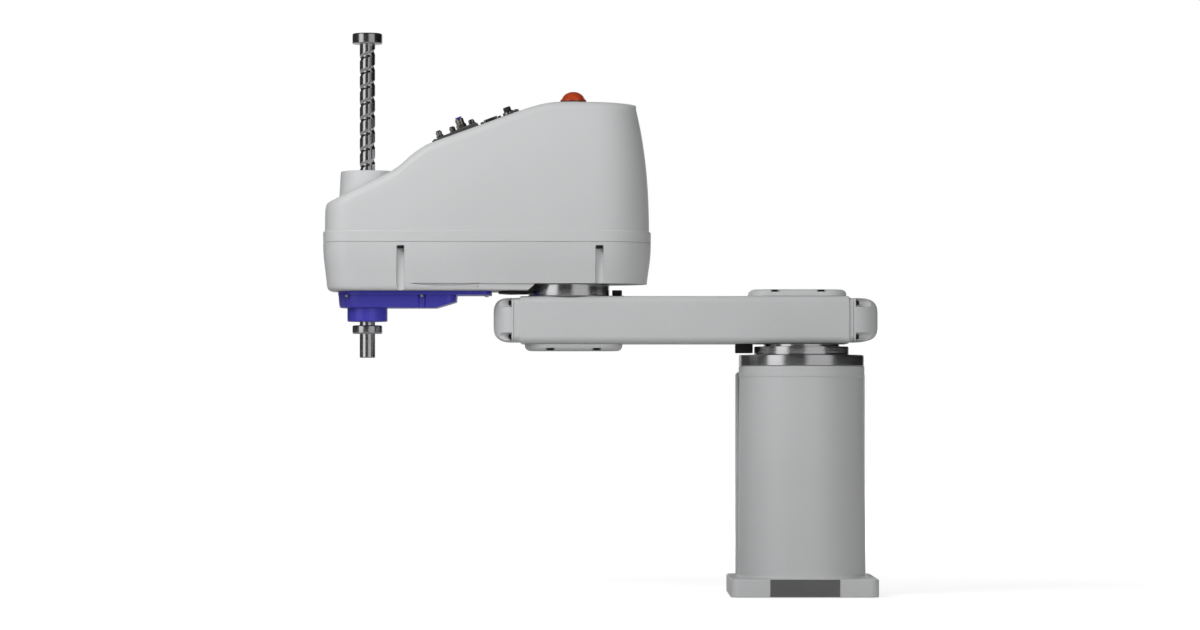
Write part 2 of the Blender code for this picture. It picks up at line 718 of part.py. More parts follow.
def build_stop_bolts():
    """Two bolts on the fixed ring; the block under arm 1 meets one at each end of its swing."""
    circle = (STOP_BLOCK_INNER + STOP_BLOCK_OUTER) / 2
    reach = STOP_BLOCK_WIDTH / 2 + STOP_BOLT_RADIUS + RUNNING_GAP
    spread = math.radians(180 - JOINT1_REACH_EACH_WAY) - math.asin(reach / circle)
    low = FIXED_RING_LOW + FIXED_RING_HEIGHT + GAP
    for number, side in ((1, -1), (2, 1)):
        angle = math.pi / 2 + side * spread
        spot = (circle * math.cos(angle), circle * math.sin(angle), low)
        turned("joint1_stop_bolt_%d" % number, BASE, rod(STOP_BOLT_RADIUS, 0, STOP_BOLT_HEIGHT, 1 * MM),
               BLACK_STEEL, spot=spot, steps=SMALL_STEPS)


# Arm 1


def arm1_section(x, side_inset, height_inset, edge=ARM1_EDGE):
    """A rounded cross-section of arm 1 at x."""
    half = ARM1_HEIGHT / 2 - height_inset
    outline = rounded_outline(-half, half, ARM1_HALF_WIDTH - side_inset, edge, edge, 0, 3)
    return [(x, across, ARM1_MIDDLE + up) for up, across in outline]


def build_arm1_casting():
    step = ARM1_NECK_STEP
    far = -ARM1_LENGTH
    sections = (
        arm1_section(far - ARM1_NECK_PAST_JOINT2, step, step),
        arm1_section(far - ARM1_BODY_PAST_JOINT2 - step, step, step),
        arm1_section(far - ARM1_BODY_PAST_JOINT2, 0, 0),
        arm1_section(ARM1_BODY_PAST_JOINT1 - step, 0, 0),
        arm1_section(ARM1_BODY_PAST_JOINT1, step, step),
        arm1_section(ARM1_NECK_PAST_JOINT1, step, step),
    )
    casting = loft("arm1_casting", ARM1, sections, CAST_GREY)
    wall = ARM1_WALL + step
    hollow = loft("cut_arm1", ARM1, (
        arm1_section(far - ARM1_NECK_PAST_JOINT2 - POKE, wall, wall, 5 * MM),
        arm1_section(ARM1_NECK_PAST_JOINT1 + POKE, wall, wall, 5 * MM),
    ))
    low = ARM1_LOW - POKE
    high = ARM1_TOP + POKE
    middle = ARM1_MIDDLE
    hub = turned("cut_hub", ARM1, rod(HUB_SPIGOT_RADIUS + GAP, low, middle),
                 steps=WIDE_STEPS)
    access = turned("cut_top_access", ARM1, rod(ARM1_ACCESS_RADIUS, middle, high))
    elbow = (far, 0, 0)
    body = turned("cut_joint2_body", ARM1, rod(JOINT2_BODY_RADIUS + GAP, middle, high), spot=elbow,
                  steps=WIDE_STEPS)
    service = turned("cut_bottom_access", ARM1, rod(ARM1_ACCESS_RADIUS, low, middle), spot=elbow)
    cut(casting, hollow, hub, access, body, service)
    return casting


def build_cap(name, seam, end, direction):
    """An end cap of arm 1: a shell that swells round to its closed end, with four screw pockets."""
    length = abs(end - seam)
    base = ARM1_NECK_STEP
    rings = []
    for along, side, height in CAP_SHAPE:
        x = seam + direction * length * along
        rings.append(arm1_section(x, base + side, base + height, CAP_EDGE))
    cap = loft(name, ARM1, rings, CAST_GREY)
    wall = base + CAP_WALL
    beside_pockets = ARM1_HALF_WIDTH - CAP_SCREW_ACROSS + CAP_POCKET_RADIUS + CAP_WALL
    inner = (
        arm1_section(seam - direction * POKE, beside_pockets, wall, 6 * MM),
        arm1_section(seam + direction * length * 0.5, beside_pockets, wall + 3 * MM, 6 * MM),
        arm1_section(seam + direction * (length - CAP_WALL * 1.5), wall + 26 * MM, wall + 14 * MM,
                     6 * MM),
    )
    hollow = loft("cut_" + name, ARM1, inner)
    spots = cap_screw_spots(seam)
    pockets = turned_set("cut_pockets_" + name, ARM1,
                         rod(CAP_POCKET_RADIUS, CAP_WALL, length + POKE), spots,
                         towards=(direction, 0, 0), steps=SMALL_STEPS)
    holes = turned_set("cut_holes_" + name, ARM1,
                       rod(M4_SHANK_RADIUS + GAP, -POKE, CAP_WALL + POKE), spots,
                       towards=(direction, 0, 0))
    cut(cap, hollow, pockets, holes)
    return cap


def cap_screw_spots(seam):
    across = CAP_SCREW_ACROSS
    up = ARM1_HEIGHT / 2 - CAP_SCREW_FROM_EDGE
    return [(seam, y, ARM1_MIDDLE + z) for y in (-across, across) for z in (-up, up)]


def build_arm1_covers():
    """The cover over joint 1 on top, the one under joint 2, and their screws."""
    half = ARM1_COVER_HALF_LENGTH
    top_middle = -ARM1_COVER_OFFSET
    bottom_middle = -ARM1_LENGTH + ARM1_COVER_OFFSET
    height = ARM1_COVER_HEIGHT
    covers = (
        ("arm1_top_cover", top_middle, ARM1_TOP + GAP, 1),
        ("arm1_bottom_cover", bottom_middle, ARM1_LOW - GAP, -1),
    )
    across = ARM1_COVER_HALF_WIDTH - ARM1_COVER_SCREW_INSET
    heads = {}
    for name, middle, start, way in covers:
        def outline(inset, middle=middle):
            return rounded_outline(middle - half, middle + half, ARM1_COVER_HALF_WIDTH,
                                   ARM1_COVER_CORNER, ARM1_COVER_CORNER, inset, 5)
        levels = [(start + way * height * share, inset) for share, inset in ARM1_COVER_SHOULDER]
        cover = stack(name, ARM1, outline, levels, COVER_GREY)
        beside_screws = ARM1_COVER_SCREW_INSET + ARM1_COVER_RECESS_RADIUS + 2.5 * MM
        hollow = stack("cut_" + name, ARM1, outline,
                       ((start - way * POKE, beside_screws),
                        (start + way * (height - 3.5 * MM), beside_screws)))
        spots = [(middle + x, y, start + way * ARM1_COVER_SEAT)
                 for x in (-ARM1_COVER_SCREW_HALF_PITCH, ARM1_COVER_SCREW_HALF_PITCH)
                 for y in (-across, across)]
        recess = turned_set("cut_recess_" + name, ARM1,
                            screw(ARM1_COVER_RECESS_RADIUS - GAP, height, M4_SHANK_RADIUS,
                                  M4_SHANK_LENGTH, GAP),
                            spots, towards=(0, 0, way))
        cut(cover, hollow, recess)
        heads[way] = spots
    return heads


def build_arm1():
    casting = build_arm1_casting()
    near = ARM1_NECK_PAST_JOINT1 + GAP
    far = -ARM1_LENGTH - ARM1_NECK_PAST_JOINT2 - GAP
    build_cap("arm1_cap_joint1", near, ARM1_END_PAST_JOINT, 1)
    build_cap("arm1_cap_joint2", far, -ARM1_LENGTH - ARM1_END_PAST_JOINT, -1)
    heads = build_arm1_covers()
    drills = []
    for way, spots in heads.items():
        drills.append(turned_set("cut_cover_drill_%d" % way, ARM1,
                                 rod(M4_SHANK_RADIUS + GAP, -M4_SHANK_LENGTH - 2 * GAP, 0), spots,
                                 towards=(0, 0, way)))
    for seam, way in ((near, 1), (far, -1)):
        drills.append(turned_set("cut_cap_drill_%d" % way, ARM1,
                                 rod(M4_SHANK_RADIUS + GAP, -M4_SHANK_LENGTH, POKE),
                                 cap_screw_spots(seam), towards=(way, 0, 0)))
    cut(casting, *drills)
    block_top = ARM1_LOW - GAP
    box("joint1_stop_block", ARM1,
        (-STOP_BLOCK_OUTER, -STOP_BLOCK_WIDTH / 2, block_top - STOP_BLOCK_HEIGHT),
        (-STOP_BLOCK_INNER, STOP_BLOCK_WIDTH / 2, block_top), BLACK_STEEL, 1.5 * MM)
    build_joint2_fixed_side()


def build_joint2_fixed_side():
    """The reducer sunk in arm 1, with its polished ring, and the bolt that stops arm 2."""
    ring_top = JOINT2_RING_LOW + JOINT2_RING_HEIGHT
    turned("joint2_reducer", ARM1, [
        (0, ring_top),
        (JOINT2_RING_RADIUS - 1 * MM, ring_top),
        (JOINT2_RING_RADIUS, ring_top - 1 * MM),
        (JOINT2_RING_RADIUS, JOINT2_RING_LOW),
        (JOINT2_BODY_RADIUS, JOINT2_RING_LOW),
        (JOINT2_BODY_RADIUS, JOINT2_RING_LOW - JOINT2_BODY_DEPTH),
        (0, JOINT2_RING_LOW - JOINT2_BODY_DEPTH),
    ], POLISHED, spot=(-ARM1_LENGTH, 0, 0), steps=WIDE_STEPS)
    low = ARM1_TOP + GAP
    turned("joint2_stop_bolt", ARM1, rod(STOPPER_RADIUS, low, low + STOPPER_HEIGHT, 1 * MM),
           BLACK_STEEL, spot=(-ARM1_LENGTH + STOPPER_FROM_JOINT2, 0, 0), steps=SMALL_STEPS)


# Arm 2 casting; its pieces use joint 2's axis as x = 0


def arm2_outline(inset):
    return rounded_outline(-ARM2_LENGTH - ARM2_NOSE, ARM2_TAIL, ARM2_HALF_WIDTH,
                           ARM2_NOSE_CORNER, ARM2_TAIL_CORNER, inset, 6)


def build_arm2_casting():
    low = ARM2_NOSE_LOW
    levels = (
        (low, 10.5 * MM),
        (low + 2 * MM, 8 * MM),
        (low + 8 * MM, 6 * MM),
        (SEAM - 45 * MM, 3.4 * MM),
        (SEAM - 25 * MM, 1 * MM),
        (SEAM, 0),
    )
    casting = stack("arm2_casting", ARM2, arm2_outline, levels, CAST_GREY)
    rise = prism("cut_tail_rise", ARM2, (
        (-ARM2_RISE_START, low - POKE),
        (-ARM2_RISE_START, low),
        (-ARM2_RISE_END, ARM2_TAIL_LOW),
        (ARM2_TAIL + POKE, ARM2_TAIL_LOW),
        (ARM2_TAIL + POKE, low - POKE),
    ), ARM2_HALF_WIDTH + POKE)
    channel = turned("cut_stop_channel", ARM2, rod(STOP_CHANNEL_RADIUS, low - POKE, ARM2_TAIL_LOW))
    wall = ARM2_SIDE_WALL
    cavity = stack("cut_arm2_cavity", ARM2, arm2_outline,
                   ((ARM2_TAIL_FLOOR, wall + 5 * MM), (SEAM - 30 * MM, wall), (SEAM + POKE, wall)))
    sump_half = ARM2_HALF_WIDTH - wall - 12 * MM
    sump = box("cut_sump", ARM2, (-ARM2_LENGTH - 45 * MM, -sump_half, ARM2_NOSE_FLOOR),
               (-STOP_CHANNEL_RADIUS - 12 * MM, sump_half, ARM2_TAIL_FLOOR + POKE))
    bosses = turned_set("cut_groove_bosses", ARM2,
                        rod(2 * GROOVE_RADIUS, low - POKE, SEAM + 2 * POKE), groove_spots(3 * MM),
                        steps=SMALL_STEPS)
    cut(cavity, bosses)
    joint = turned("cut_joint2_output", ARM2,
                   rod(JOINT2_OUTPUT_RADIUS + GAP, low - POKE, ARM2_TAIL_FLOOR + POKE))
    quill = (-ARM2_LENGTH, 0, 0)
    bearing = turned("cut_u_bearing", ARM2,
                     rod(U_BEARING_RADIUS + GAP, low - POKE, ARM2_TAIL_FLOOR + POKE), spot=quill)
    motor_shaft = turned("cut_u_motor_shaft", ARM2,
                         rod(MOTOR_PULLEY_RADIUS + 2 * MM, low - POKE, ARM2_TAIL_FLOOR + POKE),
                         spot=(-ARM2_LENGTH + U_MOTOR_FROM_QUILL, 0, 0))
    grooves = turned_set("cut_side_grooves", ARM2,
                         rod(GROOVE_RADIUS, low - POKE, SEAM - GROOVE_TOP_SKIN),
                         groove_spots(0), steps=SMALL_STEPS)
    drill = turned_set("cut_cover_screw_holes", ARM2,
                       rod(M4_SHANK_RADIUS + GAP, SEAM - GROOVE_TOP_SKIN - POKE, SEAM + POKE),
                       groove_spots(0))
    notches = []
    for side in (-1, 1):
        near = side * (ARM2_HALF_WIDTH - 6 * MM - SIDE_NOTCH_DEPTH)
        far = side * (ARM2_HALF_WIDTH + POKE)
        notches.append(box("cut_side_notch_%d" % side, ARM2,
                           (-ARM2_LENGTH + SIDE_NOTCH_FROM_QUILL, min(near, far), low - POKE),
                           (-ARM2_RISE_END + POKE, max(near, far), low + SIDE_NOTCH_HEIGHT)))
    cut(casting, rise, channel, cavity, sump, joint, bearing, motor_shaft, grooves, drill, *notches)
    screws = screw(4.5 * MM, 5 * MM, M4_SHANK_RADIUS, GROOVE_TOP_SKIN + 8 * MM)
    head = SEAM - GROOVE_TOP_SKIN - GAP
    for number, (x, y, _) in enumerate(groove_spots(0), 1):
        turned("arm2_cover_screw_%d" % number, ARM2, screws, BLACK_STEEL, spot=(x, y, head),
               steps=SCREW_STEPS, turn=(math.pi, 0, 0))
    return casting


def groove_spots(inwards):
    """Axes of the four vertical screw grooves in the casting's sides."""
    across = ARM2_HALF_WIDTH - 3.4 * MM - inwards
    places = (-ARM2_LENGTH + GROOVE_PAST_QUILL, GROOVE_PAST_JOINT2)
    return [(x, y, 0) for x in places for y in (-across, across)]


def build_joint2_moving_side():
    """The output flange and the motor over it, and the plate that meets the stop bolt."""
    low = ARM2_TAIL_LOW
    top = ARM2_TAIL_FLOOR + 2 * MM
    turned("joint2_output_flange", ARM2, rod(JOINT2_OUTPUT_RADIUS, low, top), STEEL)
    half = JOINT2_MOTOR_WIDTH / 2
    box("joint2_motor", ARM2, (-half, -half, top + GAP),
        (half, half, top + GAP + JOINT2_MOTOR_HEIGHT), BLACK_PLASTIC, 5 * MM)
    meet = math.asin((STOPPER_RADIUS + RUNNING_GAP) / STOPPER_FROM_JOINT2)
    half_angle = math.pi - math.radians(JOINT2_REACH_EACH_WAY) - meet
    steps = 8
    outer = []
    inner = []
    for step in range(steps + 1):
        angle = math.pi - half_angle + 2 * half_angle * step / steps
        outer.append((STOP_PLATE_OUTER * math.cos(angle), STOP_PLATE_OUTER * math.sin(angle)))
        inner.append((STOP_PLATE_INNER * math.cos(angle), STOP_PLATE_INNER * math.sin(angle)))
    outline = outer + inner[::-1]
    plate_top = ARM2_NOSE_LOW - GAP
    rings = [[(x, y, z) for x, y in outline] for z in (plate_top - STOP_PLATE_THICKNESS, plate_top)]
    loft("joint2_stop_plate", ARM2, rings, BLACK_STEEL)


# Arm 2 upper cover


def top_line(x):
    """Height of the cover over the seam at x, along its centre line."""
    points = COVER_TOP_LINE
    if x <= points[0][0]:
        return points[0][1]
    for (x0, z0), (x1, z1) in zip(points, points[1:]):
        if x <= x1:
            return z0 + (z1 - z0) * (x - x0) / (x1 - x0)
    return points[-1][1]


def lean(height):
    """How far the cover's wall has curved inwards at a height over the seam."""
    return COVER_LEAN * (max(height, 0) / COVER_LEAN_HEIGHT) ** 2


def cover_station(share, inset):
    """Point (x, half width) on the cover's plan, a share of the way from nose to tail."""
    low = -ARM2_LENGTH - ARM2_NOSE + inset
    high = ARM2_TAIL - inset
    half = ARM2_HALF_WIDTH - inset
    nose = ARM2_NOSE_CORNER - inset
    tail = ARM2_TAIL_CORNER - inset
    x = low + share * (high - low)
    if x < low + nose:
        return x, half - nose + math.sqrt(max(nose ** 2 - (low + nose - x) ** 2, 0))
    if x > high - tail:
        return x, half - tail + math.sqrt(max(tail ** 2 - (x - high + tail) ** 2, 0))
    return x, half


def cover_shares(nose_steps, middle_steps, tail_steps):
    """Stations along the cover, close together where the plan or the top line bends."""
    low = -ARM2_LENGTH - ARM2_NOSE
    length = ARM2_TAIL - low
    places = []
    for step in range(nose_steps + 1):
        places.append(low + ARM2_NOSE_CORNER * (1 - math.cos(math.pi / 2 * step / nose_steps)))
    bends = [x for x, _ in COVER_TOP_LINE]
    start = low + ARM2_NOSE_CORNER
    end = ARM2_TAIL - ARM2_TAIL_CORNER
    inner = [start + (end - start) * step / middle_steps for step in range(1, middle_steps)]
    places += [x for x in inner if min(abs(x - bend) for bend in bends) > 8 * MM]
    places += [x for x in bends if start + 4 * MM < x < end - 4 * MM]
    for step in range(tail_steps + 1):
        places.append(ARM2_TAIL - ARM2_TAIL_CORNER * (1 - math.sin(math.pi / 2 * step / tail_steps)))
    return sorted((x - low) / length for x in places)


def cover_section(share, wall, with_lip, wall_steps, arc_steps):
    """Half of a cross-section of the cover, from its foot up over the shoulder to the middle."""
    rough = top_line(cover_station(share, LIP_PROUD)[0]) - wall
    inset_top = LIP_PROUD + wall + lean(rough)
    height = top_line(cover_station(share, inset_top)[0]) - wall
    half = cover_station(share, inset_top)[1]
    shoulder = min(max(COVER_SHOULDER - wall, 4 * MM), half * 0.9, height * 0.5)
    points = []
    if with_lip:
        for level, inset in ((0, 0), (LIP_HEIGHT, 0), (LIP_HEIGHT + 1 * MM, LIP_PROUD)):
            x, across = cover_station(share, inset)
            points.append((x, across, COVER_LOW + level))
        first = LIP_HEIGHT + 1 * MM
        start = 1
    else:
        first = -POKE
        start = 0
    straight = height - shoulder
    for step in range(start, wall_steps + 1):
        level = first + (straight - first) * step / wall_steps
        x, across = cover_station(share, LIP_PROUD + wall + lean(level))
        points.append((x, across, COVER_LOW + level))
    x, across = points[-1][0], points[-1][1]
    radius = min(shoulder, across)
    for step in range(1, arc_steps + 1):
        angle = math.pi / 2 * step / arc_steps
        level = straight + shoulder * math.sin(angle)
        points.append((x, across - radius * (1 - math.cos(angle)), COVER_LOW + level))
    return points


def cover_shape(name, wall, with_lip, shares, wall_steps, arc_steps, material=None):
    """The moulded form of the upper cover, or with a wall given, the hollow inside it."""
    skin = bmesh.new()
    rows = []
    for share in shares:
        half = cover_section(share, wall, with_lip, wall_steps, arc_steps)
        section = half + [(x, -y, z) for x, y, z in reversed(half)]
        rows.append([skin.verts.new(point) for point in section])
    for row, after in zip(rows, rows[1:]):
        for index in range(len(row) - 1):
            skin.faces.new((row[index], after[index], after[index + 1], row[index + 1]))
    last = len(rows[0]) - 1
    for row in (rows[0], rows[-1]):
        for index in range(last // 2):
            skin.faces.new((row[index], row[index + 1], row[last - index - 1], row[last - index]))
    foot = [row[0] for row in rows] + [row[-1] for row in reversed(rows)]
    skin.faces.new(foot)
    bmesh.ops.recalc_face_normals(skin, faces=skin.faces)
    mesh = bpy.data.meshes.new(name)
    skin.to_mesh(mesh)
    skin.free()
    return place(name, mesh, ARM2, material)


def build_upper_cover():
    cover = cover_shape("arm2_upper_cover", 0, True, cover_shares(5, 7, 8), 3, 4, COVER_GREY)
    hollow = cover_shape("cut_cover_hollow", COVER_WALL, False, cover_shares(3, 3, 5), 2, 2)
    quill = (-ARM2_LENGTH, 0, COVER_LOW)
    low = HOUSING_FOOT
    housing = turned("shape_shaft_housing", ARM2, [
        (0, HOUSING_TOP),
        (HOUSING_TOP_RADIUS - 1.5 * MM, HOUSING_TOP),
        (HOUSING_TOP_RADIUS, HOUSING_TOP - 1.5 * MM),
        (HOUSING_FOOT_RADIUS, low),
        (0, low),
    ], spot=quill)
    room = turned("cut_shaft_housing", ARM2, [
        (0, HOUSING_TOP - COVER_WALL),
        (HOUSING_TOP_RADIUS - COVER_WALL, HOUSING_TOP - COVER_WALL),
        (HOUSING_FOOT_RADIUS - COVER_WALL - 3 * MM, low - POKE),
        (0, low - POKE),
    ], spot=quill)
    bore = turned("cut_shaft_bore", ARM2, rod(HOUSING_BORE, HOUSING_TOP - 10 * MM, HOUSING_TOP + POKE),
                  spot=quill)
    holes = turned_set("cut_lip_holes", ARM2, rod(M4_SHANK_RADIUS + GAP, -POKE, 9 * MM),
                       [(x, y, COVER_LOW) for x, y, _ in groove_spots(0)])
    seat = turned("cut_lamp_seat", ARM2,
                  rod(LAMP_RADIUS + GAP, lamp_seat() - COVER_LOW, top_line(0) + LAMP_HEIGHT),
                  spot=(LAMP_FROM_JOINT2, 0, COVER_LOW))
    half_length = USER_PANEL_LENGTH / 2 + GAP
    half_width = USER_PANEL_WIDTH / 2 + GAP
    pocket_floor = USER_PANEL_PROUD - USER_PANEL_THICKNESS - GAP
    pocket = box("cut_panel_pocket", SLOPE, (-half_length, -half_width, pocket_floor),
                 (half_length, half_width, 20 * MM))
    fuse(cover, housing)
    cut(cover, hollow, room, bore, holes, seat, pocket)


def lamp_seat():
    """Height of the flat seat under the lamp."""
    return COVER_LOW + top_line(LAMP_FROM_JOINT2) - LAMP_SEAT_DEPTH


def build_lamp():
    spot = (LAMP_FROM_JOINT2, 0, lamp_seat() + GAP)
    rim = LAMP_SEAT_DEPTH + 1.2 * MM
    turned("status_lamp_seat", ARM2, rod(LAMP_RADIUS, 0, rim, 0.5 * MM), BLACK_PLASTIC, spot=spot,
           steps=32)
    low = rim + GAP
    arc_low = low + 3 * MM
    rise = LAMP_HEIGHT - arc_low
    profile = []
    for step in range(6):
        angle = math.pi / 2 * step / 5
        profile.append((LAMP_DOME_RADIUS * math.sin(angle), arc_low + rise * math.cos(angle)))
    profile += [(LAMP_RADIUS - 0.6 * MM, low + 2 * MM), (LAMP_RADIUS - 0.6 * MM, low), (0, low)]
    profile[0] = (0, LAMP_HEIGHT)
    turned("status_lamp_lens", ARM2, profile, LAMP_ORANGE, spot=spot)


# User panel on the slope; its pieces use the slope's own frame, with +Z square to it


def build_user_panel():
    top = USER_PANEL_PROUD
    low = top - USER_PANEL_THICKNESS
    half = USER_PANEL_LENGTH / 2
    box("user_panel", SLOPE, (-half, -USER_PANEL_WIDTH / 2, low),
        (half, USER_PANEL_WIDTH / 2, top), DARK_PANEL)
    on_panel = top + GAP
    for number, (x, y) in enumerate(SMALL_FITTING_SPOTS, 1):
        turned("air_fitting_%d" % number, SLOPE,
               fitting_profile(SMALL_FITTING_RADIUS, SMALL_FITTING_HEIGHT), STEEL,
               spot=(x, y, on_panel), steps=SMALL_STEPS)
    x, y = LARGE_FITTING_SPOT
    body = LARGE_FITTING_HEIGHT * 0.74
    radius = LARGE_FITTING_RADIUS
    turned("large_air_fitting", SLOPE, [
        (0, body),
        (radius * 0.84, body),
        (radius * 0.84, body * 0.35),
        (radius, body * 0.35),
        (radius, 0),
        (0, 0),
    ], STEEL, spot=(x, y, on_panel), steps=SMALL_STEPS)
    turned("large_fitting_collar", SLOPE,
           rod(radius * 0.66, 0, LARGE_FITTING_HEIGHT - body - GAP, 1 * MM), BLUE,
           spot=(x, y, on_panel + body + GAP), steps=SMALL_STEPS)
    box("user_dsub_connector", SLOPE,
        (DSUB_SPOT - DSUB_LENGTH / 2, -DSUB_WIDTH / 2, on_panel),
        (DSUB_SPOT + DSUB_LENGTH / 2, DSUB_WIDTH / 2, on_panel + DSUB_HEIGHT), STEEL, 1.5 * MM)
    spot = (*BUTTON_SPOT, on_panel)
    turned("brake_button_bezel", SLOPE,
           sleeve(BUTTON_BEZEL_RADIUS, BUTTON_RADIUS + RUNNING_GAP, 0, BUTTON_BEZEL_HEIGHT, 1 * MM),
           STEEL, spot=spot, ring=True)
    turned("brake_release_button", BUTTON,
           rod(BUTTON_RADIUS, BUTTON_TRAVEL + RUNNING_GAP, BUTTON_HEIGHT, 1 * MM), BLACK_PLASTIC,
           steps=24)


# Drives inside arm 2


def plate_outline(low, high, half, low_corner, high_corner):
    def outline(inset):
        return rounded_outline(low, high, half, low_corner, high_corner, inset, 5)
    return outline


def build_z_drive():
    """The bracket over the casting with the lifting nut's bearing, motor, pulleys and belt."""
    quill = -ARM2_LENGTH
    motor_x = quill + Z_MOTOR_FROM_QUILL
    low, high = Z_BRACKET_LOW, Z_BRACKET_TOP
    bracket = stack("z_bracket", ARM2, plate_outline(quill - 40 * MM, motor_x + 38 * MM,
                                                     Z_BRACKET_HALF_WIDTH, 40 * MM, 10 * MM),
                    ((low, 0), (high, 0)), ALUMINIUM)
    cut(bracket,
        turned("cut_z_bearing", ARM2, rod(Z_BEARING_RADIUS + GAP, low - POKE, high + POKE),
               spot=(quill, 0, 0)),
        turned("cut_z_motor_shaft", ARM2, rod(MOTOR_SHAFT_RADIUS + 2 * MM, low - POKE, high + POKE),
               spot=(motor_x, 0, 0), steps=SMALL_STEPS))
    across = Z_BRACKET_HALF_WIDTH - POST_RADIUS - 2 * MM
    feet = [(quill + 38 * MM, y, 0) for y in (-across, across)]
    feet += [(motor_x + 30 * MM, y, 0) for y in (-across, across)]
    fuse(bracket, turned_set("shape_bracket_posts", ARM2,
                             rod(POST_RADIUS, ARM2_NOSE_FLOOR + GAP, low + POKE), feet, steps=SMALL_STEPS))
    turned("z_bearing", ARM2,
           sleeve(Z_BEARING_RADIUS, Z_NUT_RADIUS + RUNNING_GAP, low, low + Z_BEARING_HEIGHT),
           STEEL, spot=(quill, 0, 0), ring=True)
    half = MOTOR_WIDTH / 2
    box("z_motor", ARM2, (motor_x - half, -half, high + GAP),
        (motor_x + half, half, high + GAP + Z_MOTOR_HEIGHT), BLACK_PLASTIC, 3 * MM)
    turned("z_ball_screw_nut", Z_NUT,
           sleeve(Z_NUT_RADIUS, SHAFT_RADIUS + RUNNING_GAP, Z_PULLEY_LOW - 4 * MM,
                  high + Z_NUT_ABOVE_BRACKET), STEEL, ring=True)
    turned("z_nut_pulley", Z_NUT, pulley(NUT_PULLEY_RADIUS, Z_NUT_RADIUS + GAP, Z_PULLEY_LOW),
           ALUMINIUM, ring=True)
    turned("z_motor_pulley", Z_PULLEY, motor_pulley(Z_PULLEY_LOW, high), ALUMINIUM,
           steps=SMALL_STEPS)
    belt("z_belt", quill, motor_x, Z_PULLEY_LOW)


def pulley(radius, bore, low):
    """A belt pulley with a rim at each side."""
    rim = radius + 2 * MM
    high = low + PULLEY_HEIGHT
    return [
        (rim, high),
        (rim, high - PULLEY_RIM),
        (radius, high - PULLEY_RIM),
        (radius, low + PULLEY_RIM),
        (rim, low + PULLEY_RIM),
        (rim, low),
        (bore, low),
        (bore, high),
    ]


def motor_pulley(low, shaft_top):
    """The small pulley with the motor's shaft in it."""
    rim = MOTOR_PULLEY_RADIUS + 1.5 * MM
    high = low + PULLEY_HEIGHT
    return [
        (0, shaft_top),
        (MOTOR_SHAFT_RADIUS, shaft_top),
        (MOTOR_SHAFT_RADIUS, high),
        (rim, high),
        (rim, high - PULLEY_RIM),
        (MOTOR_PULLEY_RADIUS, high - PULLEY_RIM),
        (MOTOR_PULLEY_RADIUS, low + PULLEY_RIM),
        (rim, low + PULLEY_RIM),
        (rim, low),
        (0, low),
    ]


def belt(name, from_x, to_x, low):
    """A belt round the nut's pulley and the motor's, as a closed loft."""
    low = low + PULLEY_RIM + GAP
    high = low + PULLEY_HEIGHT - 2 * (PULLEY_RIM + GAP)
    inner = belt_line(from_x, to_x, GAP)
    outer = belt_line(from_x, to_x, GAP + BELT_THICKNESS)
    rings = []
    for line, height in ((outer, low), (outer, high), (inner, high), (inner, low)):
        rings.append([(x, y, height) for x, y in line])
    return loft(name, ARM2, rings, RUBBER, closed_loop=True)


def belt_line(from_x, to_x, room):
    """Half circles round both pulleys, joined by the tangents."""
    big = NUT_PULLEY_RADIUS + room
    small = MOTOR_PULLEY_RADIUS + room
    tangent = math.acos((big - small) / (to_x - from_x))
    steps = 14
    points = []
    for step in range(steps + 1):
        angle = tangent + (TURN - 2 * tangent) * step / steps
        points.append((from_x + big * math.cos(angle), big * math.sin(angle)))
    for step in range(steps + 1):
        angle = -tangent + 2 * tangent * step / steps
        points.append((to_x + small * math.cos(angle), small * math.sin(angle)))
    return points


def build_u_drive():
    """The spline nut that turns the shaft, with its bearing, pulleys, belt and motor."""
    quill = -ARM2_LENGTH
    motor_x = quill + U_MOTOR_FROM_QUILL
    bearing_top = ARM2_NOSE_FLOOR + U_BEARING_PROUD
    turned("u_bearing", ARM2,
           sleeve(U_BEARING_RADIUS, U_NUT_RADIUS + RUNNING_GAP, ARM2_NOSE_LOW, bearing_top),
           STEEL, spot=(quill, 0, 0), ring=True)
    turned("u_spline_nut", U_ROTOR,
           sleeve(U_NUT_RADIUS, SHAFT_RADIUS + RUNNING_GAP, BLUE_FLOOR - BLUE_CUP_DEPTH + 2 * MM,
                  ARM2_NOSE_FLOOR + U_NUT_ABOVE_FLOOR), STEEL, ring=True)
    turned("u_nut_pulley", U_ROTOR, pulley(NUT_PULLEY_RADIUS, U_NUT_RADIUS + GAP, U_PULLEY_LOW),
           ALUMINIUM, ring=True)
    floor = ARM2_NOSE_FLOOR
    turned("u_motor_pulley", U_PULLEY, motor_pulley(U_PULLEY_LOW, floor), ALUMINIUM,
           steps=SMALL_STEPS)
    belt("u_belt", quill, motor_x, U_PULLEY_LOW)
    half = MOTOR_WIDTH / 2
    box("u_motor", ARM2, (motor_x - half, -half, floor + GAP),
        (motor_x + half, half, floor + GAP + U_MOTOR_HEIGHT), BLACK_PLASTIC, 3 * MM)


# Blue cover under the nose


